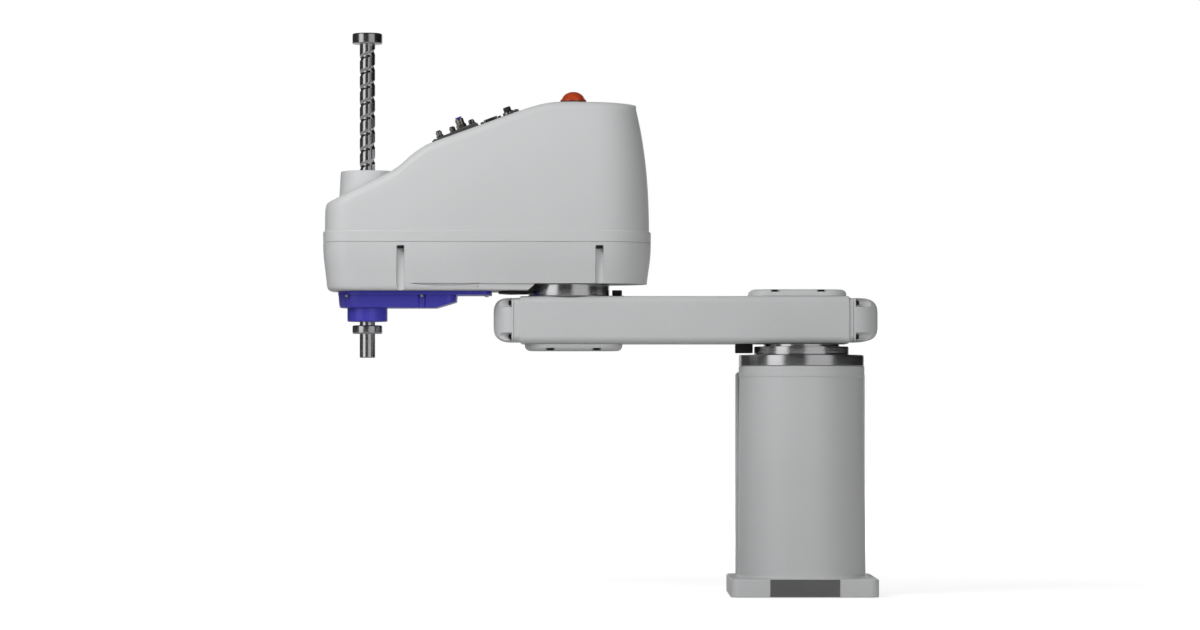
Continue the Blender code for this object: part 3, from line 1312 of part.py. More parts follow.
def build_bottom_cover():
    quill = -ARM2_LENGTH
    nose = quill - BLUE_NOSE
    half = BLUE_HALF_WIDTH
    deep_end = quill + BLUE_DEEP_END
    sloped_end = quill + BLUE_SLOPED_END
    plate_end = -STOP_PLATE_OUTER - BLUE_PLATE_FROM_STOP
    deep = plate_outline(nose, sloped_end, half, half - 1 * MM, 16 * MM)
    low = BLUE_LOW
    cover = stack("bottom_cover", ARM2, deep, (
        (low, 4 * MM),
        (low + 1.5 * MM, 2.2 * MM),
        (low + 5 * MM, 1.6 * MM),
        (BLUE_TOP, 0),
    ), BLUE)
    plate = stack("shape_blue_plate", ARM2,
                  plate_outline(nose, plate_end, BLUE_PLATE_HALF_WIDTH,
                                BLUE_NOSE - 1 * MM, 14 * MM),
                  ((BLUE_TOP - BLUE_PLATE, 0), (BLUE_TOP, 0)))
    cup = turned("shape_blue_cup", ARM2, [
        (0, BLUE_FLOOR),
        (BLUE_CUP_RADIUS, BLUE_FLOOR),
        (BLUE_CUP_RADIUS, low - BLUE_CUP_DEPTH + 1 * MM),
        (BLUE_CUP_RADIUS - 1 * MM, low - BLUE_CUP_DEPTH),
        (0, low - BLUE_CUP_DEPTH),
    ], spot=(quill, 0, 0), steps=ROUND_STEPS)
    slope = prism("cut_blue_slope", ARM2, (
        (deep_end, low - POKE),
        (deep_end, low),
        (sloped_end, low + BLUE_SLOPE_RISE),
        (sloped_end + 5 * MM, BLUE_TOP - BLUE_PLATE),
        (plate_end, BLUE_TOP - BLUE_PLATE),
        (plate_end, low - POKE),
    ), BLUE_PLATE_HALF_WIDTH + POKE)
    cut(cover, slope)
    fuse(cover, plate, cup)
    room = plate_outline(nose, deep_end + BLUE_WALL - 2 * MM, half, half - 1 * MM, 16 * MM)
    hollow = stack("cut_blue_hollow", ARM2, room,
                   ((BLUE_FLOOR, BLUE_WALL + 1 * MM), (BLUE_TOP + POKE, BLUE_WALL)))
    bore = turned("cut_blue_bore", ARM2,
                  rod(U_NUT_RADIUS + 1.5 * MM, BLUE_FLOOR - BLUE_CUP_DEPTH, BLUE_FLOOR + POKE),
                  spot=(quill, 0, 0))
    mouth = turned("cut_blue_mouth", ARM2,
                   rod(HOUSING_BORE, low - BLUE_CUP_DEPTH - POKE, BLUE_FLOOR),
                   spot=(quill, 0, 0))
    cut(cover, hollow, bore, mouth)
    seat = BLUE_TOP - BLUE_PLATE - GAP
    inset_x, inset_y = BLUE_END_SCREW_INSET
    places = [(quill + x, y) for x, y in BLUE_SCREW_SPOTS]
    places.append((plate_end - inset_x, BLUE_PLATE_HALF_WIDTH - inset_y))
    spots = [(x, side * y, seat) for x, y in places for side in (-1, 1)]
    hole = rod(BLUE_SCREW_RADIUS + GAP, -BLUE_PLATE - 4 * MM - 2 * GAP, POKE)
    holes = turned_set("cut_blue_screw_holes", ARM2, hole, spots, towards=(0, 0, -1))
    room = turned_set("cut_blue_screw_room", ARM2, rod(BLUE_SCREW_ROOM, -GAP, 30 * MM), spots,
                      towards=(0, 0, -1), steps=SMALL_STEPS)
    cut(cover, room, holes)
    return holes


# Ball-screw spline shaft


def shaft_depth(angle, height):
    """Depth of the grooves at a point: one right-handed ball groove and straight spline grooves."""
    phase = (height / SPLINE_LEAD - angle / TURN) % 1
    along = min(phase, 1 - phase) * SPLINE_LEAD
    depth = BALL_GROOVE_DEPTH * max(0, 1 - (2 * along / BALL_GROOVE_WIDTH) ** 2)
    pitch = TURN / SPLINE_GROOVES
    offset = (angle % pitch) - pitch / 2
    across = abs(offset) * SHAFT_RADIUS
    straight = SPLINE_GROOVE_DEPTH * max(0, 1 - (2 * across / SPLINE_GROOVE_WIDTH) ** 2)
    return max(depth, straight)


def shaft_ring(height, radius=None):
    ring = []
    for side in range(SHAFT_SIDES):
        angle = TURN * side / SHAFT_SIDES
        size = radius if radius else SHAFT_RADIUS - shaft_depth(angle, height)
        ring.append((size * math.cos(angle), size * math.sin(angle), height))
    return ring


def build_shaft():
    low = SHAFT_LOW
    high = SHAFT_LOW + SHAFT_LENGTH
    groove_low = low + SHAFT_PLAIN_FOOT
    groove_high = high - SHAFT_PLAIN_HEAD
    rings = [
        shaft_ring(low, SHAFT_RADIUS - SHAFT_CHAMFER),
        shaft_ring(low + SHAFT_CHAMFER, SHAFT_RADIUS),
        shaft_ring(groove_low, SHAFT_RADIUS),
    ]
    rows = round((groove_high - groove_low) / SPLINE_LEAD * SHAFT_ROWS_PER_TURN)
    for row in range(1, rows):
        rings.append(shaft_ring(groove_low + (groove_high - groove_low) * row / rows))
    rings += [
        shaft_ring(groove_high, SHAFT_RADIUS),
        shaft_ring(high - SHAFT_CHAMFER, SHAFT_RADIUS),
        shaft_ring(high, SHAFT_RADIUS - SHAFT_CHAMFER),
    ]
    loft("spline_shaft", SHAFT, rings, POLISHED)
    bore = SHAFT_RADIUS + GAP
    top = high - GAP
    turned("upper_collar", SHAFT, sleeve(COLLAR_RADIUS, bore, top - UPPER_COLLAR_HEIGHT, top, 1 * MM),
           STEEL, ring=True)
    turned("lower_collar", SHAFT,
           sleeve(COLLAR_RADIUS, bore, LOWER_COLLAR_LOW, LOWER_COLLAR_LOW + LOWER_COLLAR_HEIGHT, 1 * MM),
           STEEL, ring=True)


clear_scene()
PARTS = new_collection("scara_robot")
CUTTERS = new_collection("cutters")

BASE = new_frame("base_frame", (0, 0, 0))
ARM1 = new_frame("joint1_axis", (0, 0, 0), BASE)
ARM2 = new_frame("joint2_axis", (-ARM1_LENGTH, 0, 0), ARM1)
Z_NUT = new_frame("z_nut_axis", (-ARM2_LENGTH, 0, 0), ARM2)
U_ROTOR = new_frame("joint4_axis", (-ARM2_LENGTH, 0, 0), ARM2)
SHAFT = new_frame("joint3_axis", (0, 0, 0), U_ROTOR)
Z_PULLEY = new_frame("z_motor_axis", (-ARM2_LENGTH + Z_MOTOR_FROM_QUILL, 0, 0), ARM2)
U_PULLEY = new_frame("u_motor_axis", (-ARM2_LENGTH + U_MOTOR_FROM_QUILL, 0, 0), ARM2)
SLOPE = new_frame("user_panel_frame", (
    (SLOPE_START[0] + SLOPE_END[0]) / 2,
    0,
    COVER_LOW + (SLOPE_START[1] + SLOPE_END[1]) / 2,
), ARM2, -SLOPE_ANGLE)
BUTTON = new_frame("button_axis", (*BUTTON_SPOT, USER_PANEL_PROUD + GAP), SLOPE)

CAST_GREY = finish("cast_grey_paint", (0.50, 0.50, 0.50), 0.45)
COVER_GREY = finish("cover_grey_plastic", (0.58, 0.58, 0.58), 0.5)
POLISHED = finish("polished_steel", (0.42, 0.42, 0.43), 0.2, 1.0)
STEEL = finish("machined_steel", (0.32, 0.32, 0.33), 0.35, 1.0)
ALUMINIUM = finish("machined_aluminium", (0.60, 0.60, 0.61), 0.4, 1.0)
BLACK_STEEL = finish("black_steel", (0.015, 0.015, 0.016), 0.45, 0.6)
BLACK_PLASTIC = finish("black_plastic", (0.02, 0.02, 0.02), 0.5)
DARK_PANEL = finish("dark_panel", (0.06, 0.06, 0.065), 0.5)
BLUE = finish("blue_plastic", (0.03, 0.022, 0.42), 0.4)
LAMP_ORANGE = finish("orange_lens", (0.55, 0.08, 0.02), 0.2)
RUBBER = finish("belt_rubber", (0.02, 0.02, 0.02), 0.8)

build_base_housing()
build_rear_cover()
build_base_back()
build_joint1()
build_arm1()
CASTING = build_arm2_casting()
build_joint2_moving_side()
build_upper_cover()
build_lamp()
build_user_panel()
build_z_drive()
build_u_drive()
cut(CASTING, build_bottom_cover())
build_shaft()
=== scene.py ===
"""A four-axis SCARA robot, dressed for the studio: fine surfaces, fasteners, fittings and finishes.

Sizes in calls are millimetres in the frame's own axes: +Z is up, the arms point along -X.
"""
import math

import bmesh
import bpy
from mathutils import Matrix, Vector


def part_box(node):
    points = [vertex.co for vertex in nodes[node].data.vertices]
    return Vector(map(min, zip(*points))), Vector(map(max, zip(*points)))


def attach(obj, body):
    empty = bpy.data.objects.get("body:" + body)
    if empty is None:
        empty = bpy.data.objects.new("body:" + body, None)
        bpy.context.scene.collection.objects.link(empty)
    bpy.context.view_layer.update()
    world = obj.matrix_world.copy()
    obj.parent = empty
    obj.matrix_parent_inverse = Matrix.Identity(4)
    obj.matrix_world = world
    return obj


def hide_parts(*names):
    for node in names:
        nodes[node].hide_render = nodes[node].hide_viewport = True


MM = 0.001
TURN = 2 * math.pi
CLOSE = 0.01                # how far apart two equal lengths may be, in mm
UP = (0, 0, 1)
DOWN = (0, 0, -1)
BACK = (0, 1, 0)
JOINT2_X = -375
SHAFT_X = -700
JOINT2 = (JOINT2_X, 0, 0)
SHAFT = (SHAFT_X, 0, 0)
ARM1_MIDDLE = 441.3         # height of arm 1's middle
SEAM = 565.5                # height of the foot of arm 2's upper cover

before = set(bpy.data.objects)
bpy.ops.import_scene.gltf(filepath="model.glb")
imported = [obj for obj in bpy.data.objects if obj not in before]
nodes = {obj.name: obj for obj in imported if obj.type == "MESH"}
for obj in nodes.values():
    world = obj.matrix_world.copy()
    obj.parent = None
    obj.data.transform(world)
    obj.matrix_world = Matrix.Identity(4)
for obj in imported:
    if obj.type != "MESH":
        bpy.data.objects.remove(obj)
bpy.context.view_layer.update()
bpy.ops.object.select_all(action="DESELECT")


# Finishes


class Wire:
    """One socket of a material, so that its maths reads as arithmetic."""

    def __init__(self, finish, socket):
        self.finish = finish
        self.socket = socket

    def maths(self, operation, other):
        return self.finish.add("ShaderNodeMath", {0: self, 1: other}, operation=operation)

    def __add__(self, other):
        return self.maths("ADD", other)

    def __sub__(self, other):
        return self.maths("SUBTRACT", other)

    def __mul__(self, other):
        return self.maths("MULTIPLY", other)

    def __pow__(self, other):
        return self.maths("POWER", other)


class Finish:
    """A material, which keeps the name of the record's slot of the same make."""

    def __init__(self, name, slot, colour, roughness, metallic=0.0, **extra):
        self.slot = slot
        self.material = bpy.data.materials.new(name)
        self.material.use_nodes = True
        self.tree = self.material.node_tree
        self.shader = self.tree.nodes["Principled BSDF"]
        self.colour = colour
        self.shader.inputs["Base Color"].default_value = (*colour, 1)
        self.shader.inputs["Roughness"].default_value = roughness
        self.shader.inputs["Metallic"].default_value = metallic
        for socket, value in extra.items():
            self.shader.inputs[socket.replace("_", " ")].default_value = value
        self.place = self.add("ShaderNodeTexCoord", output="Object")

    def add(self, kind, values=None, output=0, **settings):
        """Add a node; its settings come first, then the values or wires of its sockets."""
        node = self.tree.nodes.new(kind)
        for key, value in settings.items():
            setattr(node, key, value)
        for socket, value in (values or {}).items():
            if isinstance(value, Wire):
                self.tree.links.new(value.socket, node.inputs[socket])
            else:
                node.inputs[socket].default_value = value
        return Wire(self, node.outputs[output])

    def feed(self, socket, wire):
        self.tree.links.new(wire.socket, self.shader.inputs[socket])

    def axes(self):
        """The x, y and z of a place."""
        split = self.tree.nodes.new("ShaderNodeSeparateXYZ")
        self.tree.links.new(self.place.socket, split.inputs[0])
        return [Wire(self, output) for output in split.outputs]

    def noise(self, scale, detail, place=None):
        values = {"Vector": place or self.place, "Scale": scale, "Detail": detail, "Roughness": 0.5}
        return self.add("ShaderNodeTexNoise", values)

    def even(self, wire, low, high):
        """Stretch the middle of a noise to run from 0 to 1."""
        values = {"Value": wire, "From Min": low, "From Max": high}
        return self.add("ShaderNodeMapRange", values, clamp=True)

    def cloud(self, scale, detail=2, place=None):
        """Soft patches that run from 0 to 1."""
        return self.even(self.noise(scale, detail, place), 0.3, 0.7)

    def speck(self, scale):
        """Crisp grains that run from 0 to 1."""
        return self.even(self.noise(scale, 2), 0.35, 0.65)

    def mix(self, share, first, second):
        """Blend two colours."""
        values = {0: share, 6: first, 7: second}
        return self.add("ShaderNodeMix", values, 2, data_type="RGBA")

    def tint(self, wire, darker, lighter):
        """Run the base colour between two shades of itself."""
        shades = [(*[min(part * shade, 1) for part in self.colour], 1) for shade in (darker, lighter)]
        self.feed("Base Color", self.mix(wire, *shades))

    def relief(self, wire, depth):
        """Raise a pattern from the surface, to a depth in millimetres."""
        values = {"Height": wire, "Distance": depth * MM, "Strength": 1.0}
        self.feed("Normal", self.add("ShaderNodeBump", values))


def painted(name, slot, colour, roughness=0.42):
    """Sprayed paint on a casting: a faint orange peel over slow waves, cloudy by a percent or two."""
    finish = Finish(name, slot, colour, roughness, Coat_Weight=0.12, Coat_Roughness=0.25)
    cloud = finish.cloud(7, 3)
    speck = finish.speck(620)
    finish.tint(cloud * 0.6 + speck * 0.4, 0.955, 1.03)
    finish.feed("Roughness", cloud * 0.08 + speck * 0.05 + (roughness - 0.06))
    finish.relief(finish.noise(420, 1) + finish.noise(60, 1) * 0.6, 0.06)
    return finish


def moulded(name, slot, colour, roughness, grain, coat):
    """Injection-moulded plastic with a fine spark-eroded grain."""
    finish = Finish(name, slot, colour, roughness, Coat_Weight=coat, Coat_Roughness=0.3)
    values = {"Vector": finish.place, "Scale": 1100, "Smoothness": 0.6}
    cells = finish.add("ShaderNodeTexVoronoi", values, feature="SMOOTH_F1")
    speck = finish.speck(1500)
    finish.tint(finish.cloud(5) * 0.7 + speck * 0.3, 0.97, 1.02)
    finish.feed("Roughness", speck * 0.1 + (roughness - 0.05))
    finish.relief(cells + finish.noise(900, 2), grain)
    return finish


def lathe_turned(name, slot, colour, roughness, middle=0, depth=0.02):
    """Metal off the lathe: rings round an upright axis at x = middle."""
    finish = Finish(name, slot, colour, roughness, 1.0)
    x, y, z = finish.axes()
    out = x - middle * MM
    radius = (out * out + y * y) ** 0.5
    rings = finish.add("ShaderNodeCombineXYZ", {0: radius, 1: 0.0, 2: z})
    fine = finish.cloud(2600, 3, rings)
    broad = finish.cloud(240, 2, rings)
    cloud = finish.cloud(30)
    finish.tint(broad * 0.5 + fine * 0.3 + cloud * 0.2, 0.9, 1.04)
    finish.feed("Roughness", fine * 0.08 + cloud * 0.05 + (roughness - 0.05))
    finish.relief(fine + broad * 0.5, depth)
    return finish


def milled(name, slot, colour, roughness, along=0, depth=0.03, metallic=1.0):
    """Metal off the mill: short parallel cutter lines along one axis."""
    finish = Finish(name, slot, colour, roughness, metallic)
    stretch = [900, 900, 900]
    stretch[along] = 25
    lines = finish.add("ShaderNodeMapping", {"Vector": finish.place, "Scale": stretch})
    fine = finish.cloud(1, 3, lines)
    cloud = finish.cloud(25)
    finish.tint(fine * 0.6 + cloud * 0.4, 0.9, 1.05)
    finish.feed("Roughness", fine * 0.1 + cloud * 0.06 + (roughness - 0.08))
    finish.relief(fine, depth)
    return finish


def blackened(name, slot, colour, roughness, metallic=0.0):
    """Black oxide or a dark fine-grained moulding, greyer where it has been handled."""
    finish = Finish(name, slot, colour, roughness, metallic)
    cloud = finish.cloud(90, 3)
    speck = finish.speck(1400)
    finish.tint(cloud * 0.6 + speck * 0.4, 0.8, 1.35)
    finish.feed("Roughness", cloud * 0.12 + speck * 0.06 + (roughness - 0.08))
    finish.relief(speck, 0.03)
    return finish


def lens(name, colour, roughness):
    """Translucent moulding, a little cloudy, with a smooth skin."""
    finish = Finish(name, name, colour, roughness, Transmission_Weight=0.35, IOR=1.49,
                    Coat_Weight=0.4, Coat_Roughness=0.08)
    finish.tint(finish.cloud(60), 0.85, 1.1)
    finish.relief(finish.noise(400, 1), 0.03)
    return finish


PAINT_GREY = (0.545, 0.55, 0.555)
POLISHED = (0.60, 0.60, 0.61)
TURNED = (0.42, 0.42, 0.43)

CAST = painted("cast_grey_paint", "cast_grey", PAINT_GREY)
COVER = moulded("cover_grey_plastic", "cover_grey", PAINT_GREY, 0.46, 0.03, 0.08)
RING1 = lathe_turned("polished_ring_joint1", "polished_steel", POLISHED, 0.17)
RING2 = lathe_turned("polished_ring_joint2", "polished_steel", POLISHED, 0.17, JOINT2_X)
QUILL = lathe_turned("ground_shaft_steel", "polished_steel", (0.58, 0.58, 0.60), 0.16, SHAFT_X, 0.01)
STEEL1 = lathe_turned("turned_steel_joint1", "machined_steel", TURNED, 0.32)
STEEL2 = lathe_turned("turned_steel_joint2", "machined_steel", TURNED, 0.32, JOINT2_X)
STEEL3 = lathe_turned("turned_steel_quill", "machined_steel", (0.46, 0.46, 0.47), 0.3, SHAFT_X)
COLLAR = lathe_turned("polished_collars", "machined_steel", (0.5, 0.5, 0.51), 0.17, SHAFT_X)
NICKEL = milled("nickel_plate", "machined_steel", (0.36, 0.35, 0.33), 0.24, 2, 0.01)
ZINC = milled("cast_zinc", "machined_steel", (0.20, 0.19, 0.17), 0.4, 0, 0.02, 0.7)
PULLEY3 = lathe_turned("turned_aluminium_quill", "machined_aluminium", (0.66, 0.66, 0.67), 0.35, SHAFT_X)
ALUMINIUM = milled("milled_aluminium", "machined_aluminium", (0.64, 0.64, 0.65), 0.38, metallic=0.8)
PAD = milled("milled_front_pad", "cast_grey", (0.18, 0.18, 0.18), 0.42, 0, 0.04, 0.55)
BLACK_OXIDE = blackened("black_oxide", "black_steel", (0.018, 0.018, 0.019), 0.42, 0.6)
BLACK = blackened("black_plastic", "black_plastic", (0.017, 0.017, 0.018), 0.48)
DARK = blackened("dark_panel", "dark_panel", (0.05, 0.05, 0.053), 0.5)
BLUE = moulded("blue_plastic", "blue_plastic", (0.052, 0.046, 0.45), 0.36, 0.02, 0.12)
RUBBER = blackened("belt_rubber", "belt_rubber", (0.02, 0.02, 0.02), 0.75)
ORANGE = lens("orange_lens", (0.54, 0.065, 0.014), 0.22)


# Shaping tools, in millimetres


def named(name):
    piece = bpy.context.object
    piece.name = name
    piece.data.name = name
    return piece


def hold(piece):
    """Make one piece the only one selected and active."""
    bpy.ops.object.select_all(action="DESELECT")
    piece.select_set(True)
    bpy.context.view_layer.objects.active = piece


def pick(piece, kind, test):
    """Go into edit mode with only the vertices, edges or faces that pass a test selected."""
    hold(piece)
    bpy.ops.object.mode_set(mode="EDIT")
    bpy.ops.mesh.select_mode(type=kind)
    bpy.ops.mesh.select_all(action="DESELECT")
    mesh = bmesh.from_edit_mesh(piece.data)
    items = {"VERT": mesh.verts, "EDGE": mesh.edges, "FACE": mesh.faces}[kind]
    for item in items:
        item.select_set(test(item))
    bmesh.update_edit_mesh(piece.data)


def edit_all(piece, kind):
    """Go into edit mode on one piece with all of it selected."""
    hold(piece)
    bpy.ops.object.mode_set(mode="EDIT")
    bpy.ops.mesh.select_mode(type=kind)
    bpy.ops.mesh.select_all(action="SELECT")


def leave():
    bpy.ops.object.mode_set(mode="OBJECT")


def reshape(piece, test, move=None, ratio=None, middle=(0, 0, 0)):
    """Move or stretch the corners that pass a test, all in millimetres."""
    pick(piece, "VERT", lambda corner: test(corner.co / MM))
    if move:
        bpy.ops.transform.translate(value=[part * MM for part in move])
    else:
        bpy.ops.transform.resize(value=ratio, center_override=[part * MM for part in middle])
    leave()


def shift(spot):
    return Matrix.Translation(Vector(spot) * MM)


def aimed(spot, towards):
    """The move from the origin, looking up, to a spot, looking another way."""
    return shift(spot) @ Vector(UP).rotation_difference(Vector(towards)).to_matrix().to_4x4()


def tidy(piece):
    """Merge doubles and turn the faces outwards."""
    edit_all(piece, "VERT")
    bpy.ops.mesh.remove_doubles(threshold=0.005 * MM)
    bpy.ops.mesh.normals_make_consistent(inside=False)
    leave()
    return piece


def round_edges(piece, radius, steps, test):
    """Round the edges whose two ends, in mm, pass a test."""
    pick(piece, "EDGE", lambda edge: test(edge.verts[0].co / MM, edge.verts[1].co / MM))
    bpy.ops.mesh.bevel(offset=radius * MM, segments=steps, affect="EDGES", clamp_overlap=False)
    leave()
    return piece


def upright(a, b):
    return abs(a.x - b.x) < CLOSE and abs(a.y - b.y) < CLOSE


def along_y(a, b):
    return abs(a.x - b.x) < CLOSE and abs(a.z - b.z) < CLOSE


def level_at(height):
    return lambda a, b: abs(a.z - height) < CLOSE and abs(b.z - height) < CLOSE


def block(name, low, high, corner=0.0, top=0.0, bottom=0.0, steps=6):
    """A block between two corners: upright edges get a corner radius, rims their own."""
    low = Vector(low)
    high = Vector(high)
    bpy.ops.mesh.primitive_cube_add(size=1, location=(low + high) / 2 * MM, scale=(high - low) * MM)
    bpy.ops.object.transform_apply()
    piece = named(name)
    if corner:
        round_edges(piece, corner, steps, upright)
    if top:
        round_edges(piece, top, 3, level_at(high.z))
    if bottom:
        round_edges(piece, bottom, 3, level_at(low.z))
    return piece


def turned(name, profile, spot=(0, 0, 0), steps=96, closed=False, towards=UP):
    """Draw (radius, height) points by extruding a vertex, and spin them round the upright axis."""
    points = [Vector((radius, 0, height)) * MM for radius, height in profile]
    if closed:
        points.append(points[0])
    bpy.ops.mesh.primitive_plane_add(size=MM, location=(0, 0, 0))
    piece = named(name)
    edit_all(piece, "VERT")
    bpy.ops.mesh.merge(type="CENTER")
    bpy.ops.transform.translate(value=points[0])
    for before, after in zip(points, points[1:]):
        bpy.ops.mesh.extrude_region_move(TRANSFORM_OT_translate={"value": after - before})
    bpy.ops.mesh.select_all(action="SELECT")
    bpy.ops.mesh.spin(steps=steps, angle=TURN, center=(0, 0, 0), axis=UP)
    leave()
    tidy(piece)
    piece.data.transform(aimed(spot, towards))
    return piece


def carried(name, size, corners, stations, steps, placing):
    """Extrude a rounded rectangle upwards and put it in place.

    A station is (height, inset) or (height, inset in x, inset in y). The corners' radii are
    those at -x and +x.
    """
    start, *inset = stations[0]
    wide = [size[0] - 2 * inset[0], size[1] - 2 * inset[-1]]
    bpy.ops.mesh.primitive_plane_add(size=1, location=(0, 0, start * MM))
    piece = named(name)
    piece.scale = (wide[0] * MM, wide[1] * MM, 1)
    bpy.ops.object.transform_apply()
    for radius, side in zip(corners, (-1, 1)):
        pick(piece, "VERT", lambda point: point.co.x * side > 0)
        bpy.ops.mesh.bevel(offset=radius * MM, segments=steps, affect="VERTICES", clamp_overlap=False)
        leave()
    edit_all(piece, "FACE")
    height = start
    for after, *inset in stations[1:]:
        rise = (0, 0, (after - height) * MM)
        bpy.ops.mesh.extrude_region_move(TRANSFORM_OT_translate={"value": rise})
        want = [size[0] - 2 * inset[0], size[1] - 2 * inset[-1]]
        ratio = (want[0] / wide[0], want[1] / wide[1], 1)
        bpy.ops.transform.resize(value=ratio, center_override=(0, 0, after * MM))
        wide = want
        height = after
    leave()
    piece.data.transform(placing)
    return tidy(piece)


def apply_all(piece):
    hold(piece)
    for step in list(piece.modifiers):
        bpy.ops.object.modifier_apply(modifier=step.name)
    return piece


def boolean(piece, tools, operation):
    """Cut or weld with other shapes, which are used up."""
    for tool in tools:
        step = piece.modifiers.new("shape", "BOOLEAN")
        step.object = tool
        step.operation = operation
        step.solver = "EXACT"
        apply_all(piece)
        bpy.data.objects.remove(tool, do_unlink=True)
    return piece


def cut(piece, *tools):
    return boolean(piece, tools, "DIFFERENCE")


def weld(piece, *tools):
    return boolean(piece, tools, "UNION")


def soften(piece, width, steps=2, angle=30):
    """Break every sharp edge by a small round."""
    step = piece.modifiers.new("edges", "BEVEL")
    step.width = width * MM
    step.segments = steps
    step.limit_method = "ANGLE"
    step.angle_limit = math.radians(angle)
    return apply_all(piece)


def copies(piece, spots, towards=UP, name=None):
    """Copies of a piece that was made at the origin, each with its own mesh, joined into one."""
    label = name or piece.name
    shapes = []
    for spot in spots:
        twin = piece.copy()
        twin.data = piece.data.copy()
        bpy.context.collection.objects.link(twin)
        twin.data.transform(aimed(spot, towards))
        shapes.append(twin)
    bpy.data.objects.remove(piece, do_unlink=True)
    return join(label, shapes)


def join(name, shapes):
    bpy.ops.object.select_all(action="DESELECT")
    for shape in shapes:
        shape.select_set(True)
    bpy.context.view_layer.objects.active = shapes[0]
    if len(shapes) > 1:
        bpy.ops.object.join()
    return named(name)


def from_skin(name, skin):
    """Make a piece of a surface that was drawn face by face."""
    mesh = bpy.data.meshes.new(name)
    skin.to_mesh(mesh)
    skin.free()
    piece = bpy.data.objects.new(name, mesh)
    bpy.context.collection.objects.link(piece)
    return tidy(piece)


def rod(radius, low, high, spot=(0, 0, 0), towards=UP, steps=32):
    """A plain round bar, for cutting holes."""
    return turned("rod", [(0, high), (radius, high), (radius, low), (0, low)], spot, steps, False, towards)


def fit(piece, body, finish, *replaced, angle=32):
    """Give a piece its finish, its smooth shading and the body that it rides on."""
    piece.data.materials.clear()
    piece.data.materials.append(finish.material)
    hold(piece)
    bpy.ops.object.shade_smooth_by_angle(angle=math.radians(angle))
    piece.modifiers.new("even_shading", "WEIGHTED_NORMAL").keep_sharp = True
    apply_all(piece)
    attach(piece, body)
    if replaced:
        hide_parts(*replaced)
    return piece


def knurl(piece, radius, count, depth):
    """Press upright flutes into a round side that was turned with twice as many steps."""
    pitch = TURN / count / 2
    narrow = (radius - depth) / radius

    def in_flute(corner):
        turns = math.atan2(corner.y, corner.x) / pitch
        return math.hypot(corner.x, corner.y) > radius - 0.1 and round(turns) % 2 == 1

    reshape(piece, in_flute, ratio=(narrow, narrow, 1))


def socket_screw(name, head, height, socket, washer=0.0):
    """A cap screw's head at the origin, looking up, with its hexagon socket."""
    profile = [(0, height), (head - 0.5, height), (head - 0.15, height - 0.15), (head, height - 0.5),
               (head, 0), (0, 0)]
    screw = turned(name, profile, steps=28)
    profile = [(0, height + 1), (socket, height + 1), (socket, height * 0.35), (0, height * 0.2)]
    cut(screw, turned("hexagon", profile, steps=6))
    if washer:
        ring = turned("washer", [(washer, 0), (washer, -1), (head * 0.6, -1), (head * 0.6, 0)],
                      steps=28, closed=True)
        screw = join(name, [screw, ring])
    return screw


# Camera and studio


LAMPS = (
    # name, place in metres, size in metres, power in watts
    ("nose_high", (-1.2, -1.0, 1.6), (0.8, 0.8), 14),
    ("nose_near", (-1.35, -1.1, 1.05), (0.7, 0.7), 4),
    ("front", (0.2, -4.5, 1.2), (2.5, 2.0), 12),
    ("front_right", (1.2, -3.2, 0.6), (1.2, 1.6), 34),
    ("top", (-0.3, 0.2, 3.3), (2.6, 1.8), 7.5),
    ("back", (0.1, 3.2, 2.0), (1.6, 1.6), 30),
    ("back_left", (-0.9, 3.1, 0.9), (1.2, 1.6), 18),
)
LAMP_AIM = Vector((-0.33, 0, 0.45))
AMBIENT = 0.2
SEEN_RAYS = ("Is Camera Ray", "Is Glossy Ray", "Is Transmission Ray")


def seen_from(tree, least):
    """A wire that is 1 for what is seen, straight or in a reflection, and least for other light."""
    rays = tree.nodes.new("ShaderNodeLightPath")
    before = None
    for ray in SEEN_RAYS:
        most = tree.nodes.new("ShaderNodeMath")
        most.operation = "MAXIMUM"
        most.inputs[1].default_value = least
        tree.links.new(rays.outputs[ray], most.inputs[0])
        if before:
            tree.links.new(before, most.inputs[1])
        before = most.outputs[0]
    return before


def build_studio():
    scene = bpy.context.scene
    scene.view_settings.view_transform = "Standard"
    camera = bpy.data.cameras.new("photo_view")
    camera.lens = 122.4
    camera.sensor_width = 36
    camera.shift_y = 0.075
    camera.clip_end = 100
    viewer = bpy.data.objects.new("photo_view", camera)
    viewer.location = (-0.325, -6.58, 0.305)
    viewer.rotation_euler = (math.pi / 2, 0, 0)
    scene.collection.objects.link(viewer)
    scene.camera = viewer
    for name, spot, size, power in LAMPS:
        lamp = bpy.data.lights.new(name, "AREA")
        lamp.shape = "RECTANGLE"
        lamp.size, lamp.size_y = size
        lamp.energy = power
        holder = bpy.data.objects.new(name, lamp)
        holder.location = spot
        holder.rotation_mode = "QUATERNION"
        holder.rotation_quaternion = (LAMP_AIM - Vector(spot)).to_track_quat("-Z", "Y")
        holder.visible_glossy = False
        scene.collection.objects.link(holder)

    world = bpy.data.worlds.new("studio")
    world.use_nodes = True
    scene.world = world
    tree = world.node_tree
    white = tree.nodes["Background"]
    white.inputs["Color"].default_value = (1, 1, 1, 1)
    tree.links.new(seen_from(tree, AMBIENT), white.inputs["Strength"])
    build_floor()
    build_boards()


def build_floor():
    """A pale floor that the camera sees as white, with the robot's shadow round its foot."""
    floor = block("floor", (-9000, -9000, -24), (9000, 9000, -0.6))
    pale = Finish("pale_floor", None, (0.5, 0.5, 0.5), 0.9)
    x, y, _ = pale.axes()
    away = ((x + 0.2) * (x + 0.2) + y * y) ** 0.5
    glow = pale.mix(pale.even(away, 0.8, 2.6), (0.7, 0.7, 0.7, 1), (0.97, 0.97, 0.97, 1))
    seen = Wire(pale, seen_from(pale.tree, 0))
    pale.feed("Emission Color", pale.mix(seen, (0, 0, 0, 1), glow))
    pale.shader.inputs["Emission Strength"].default_value = 1
    floor.data.materials.append(pale.material)


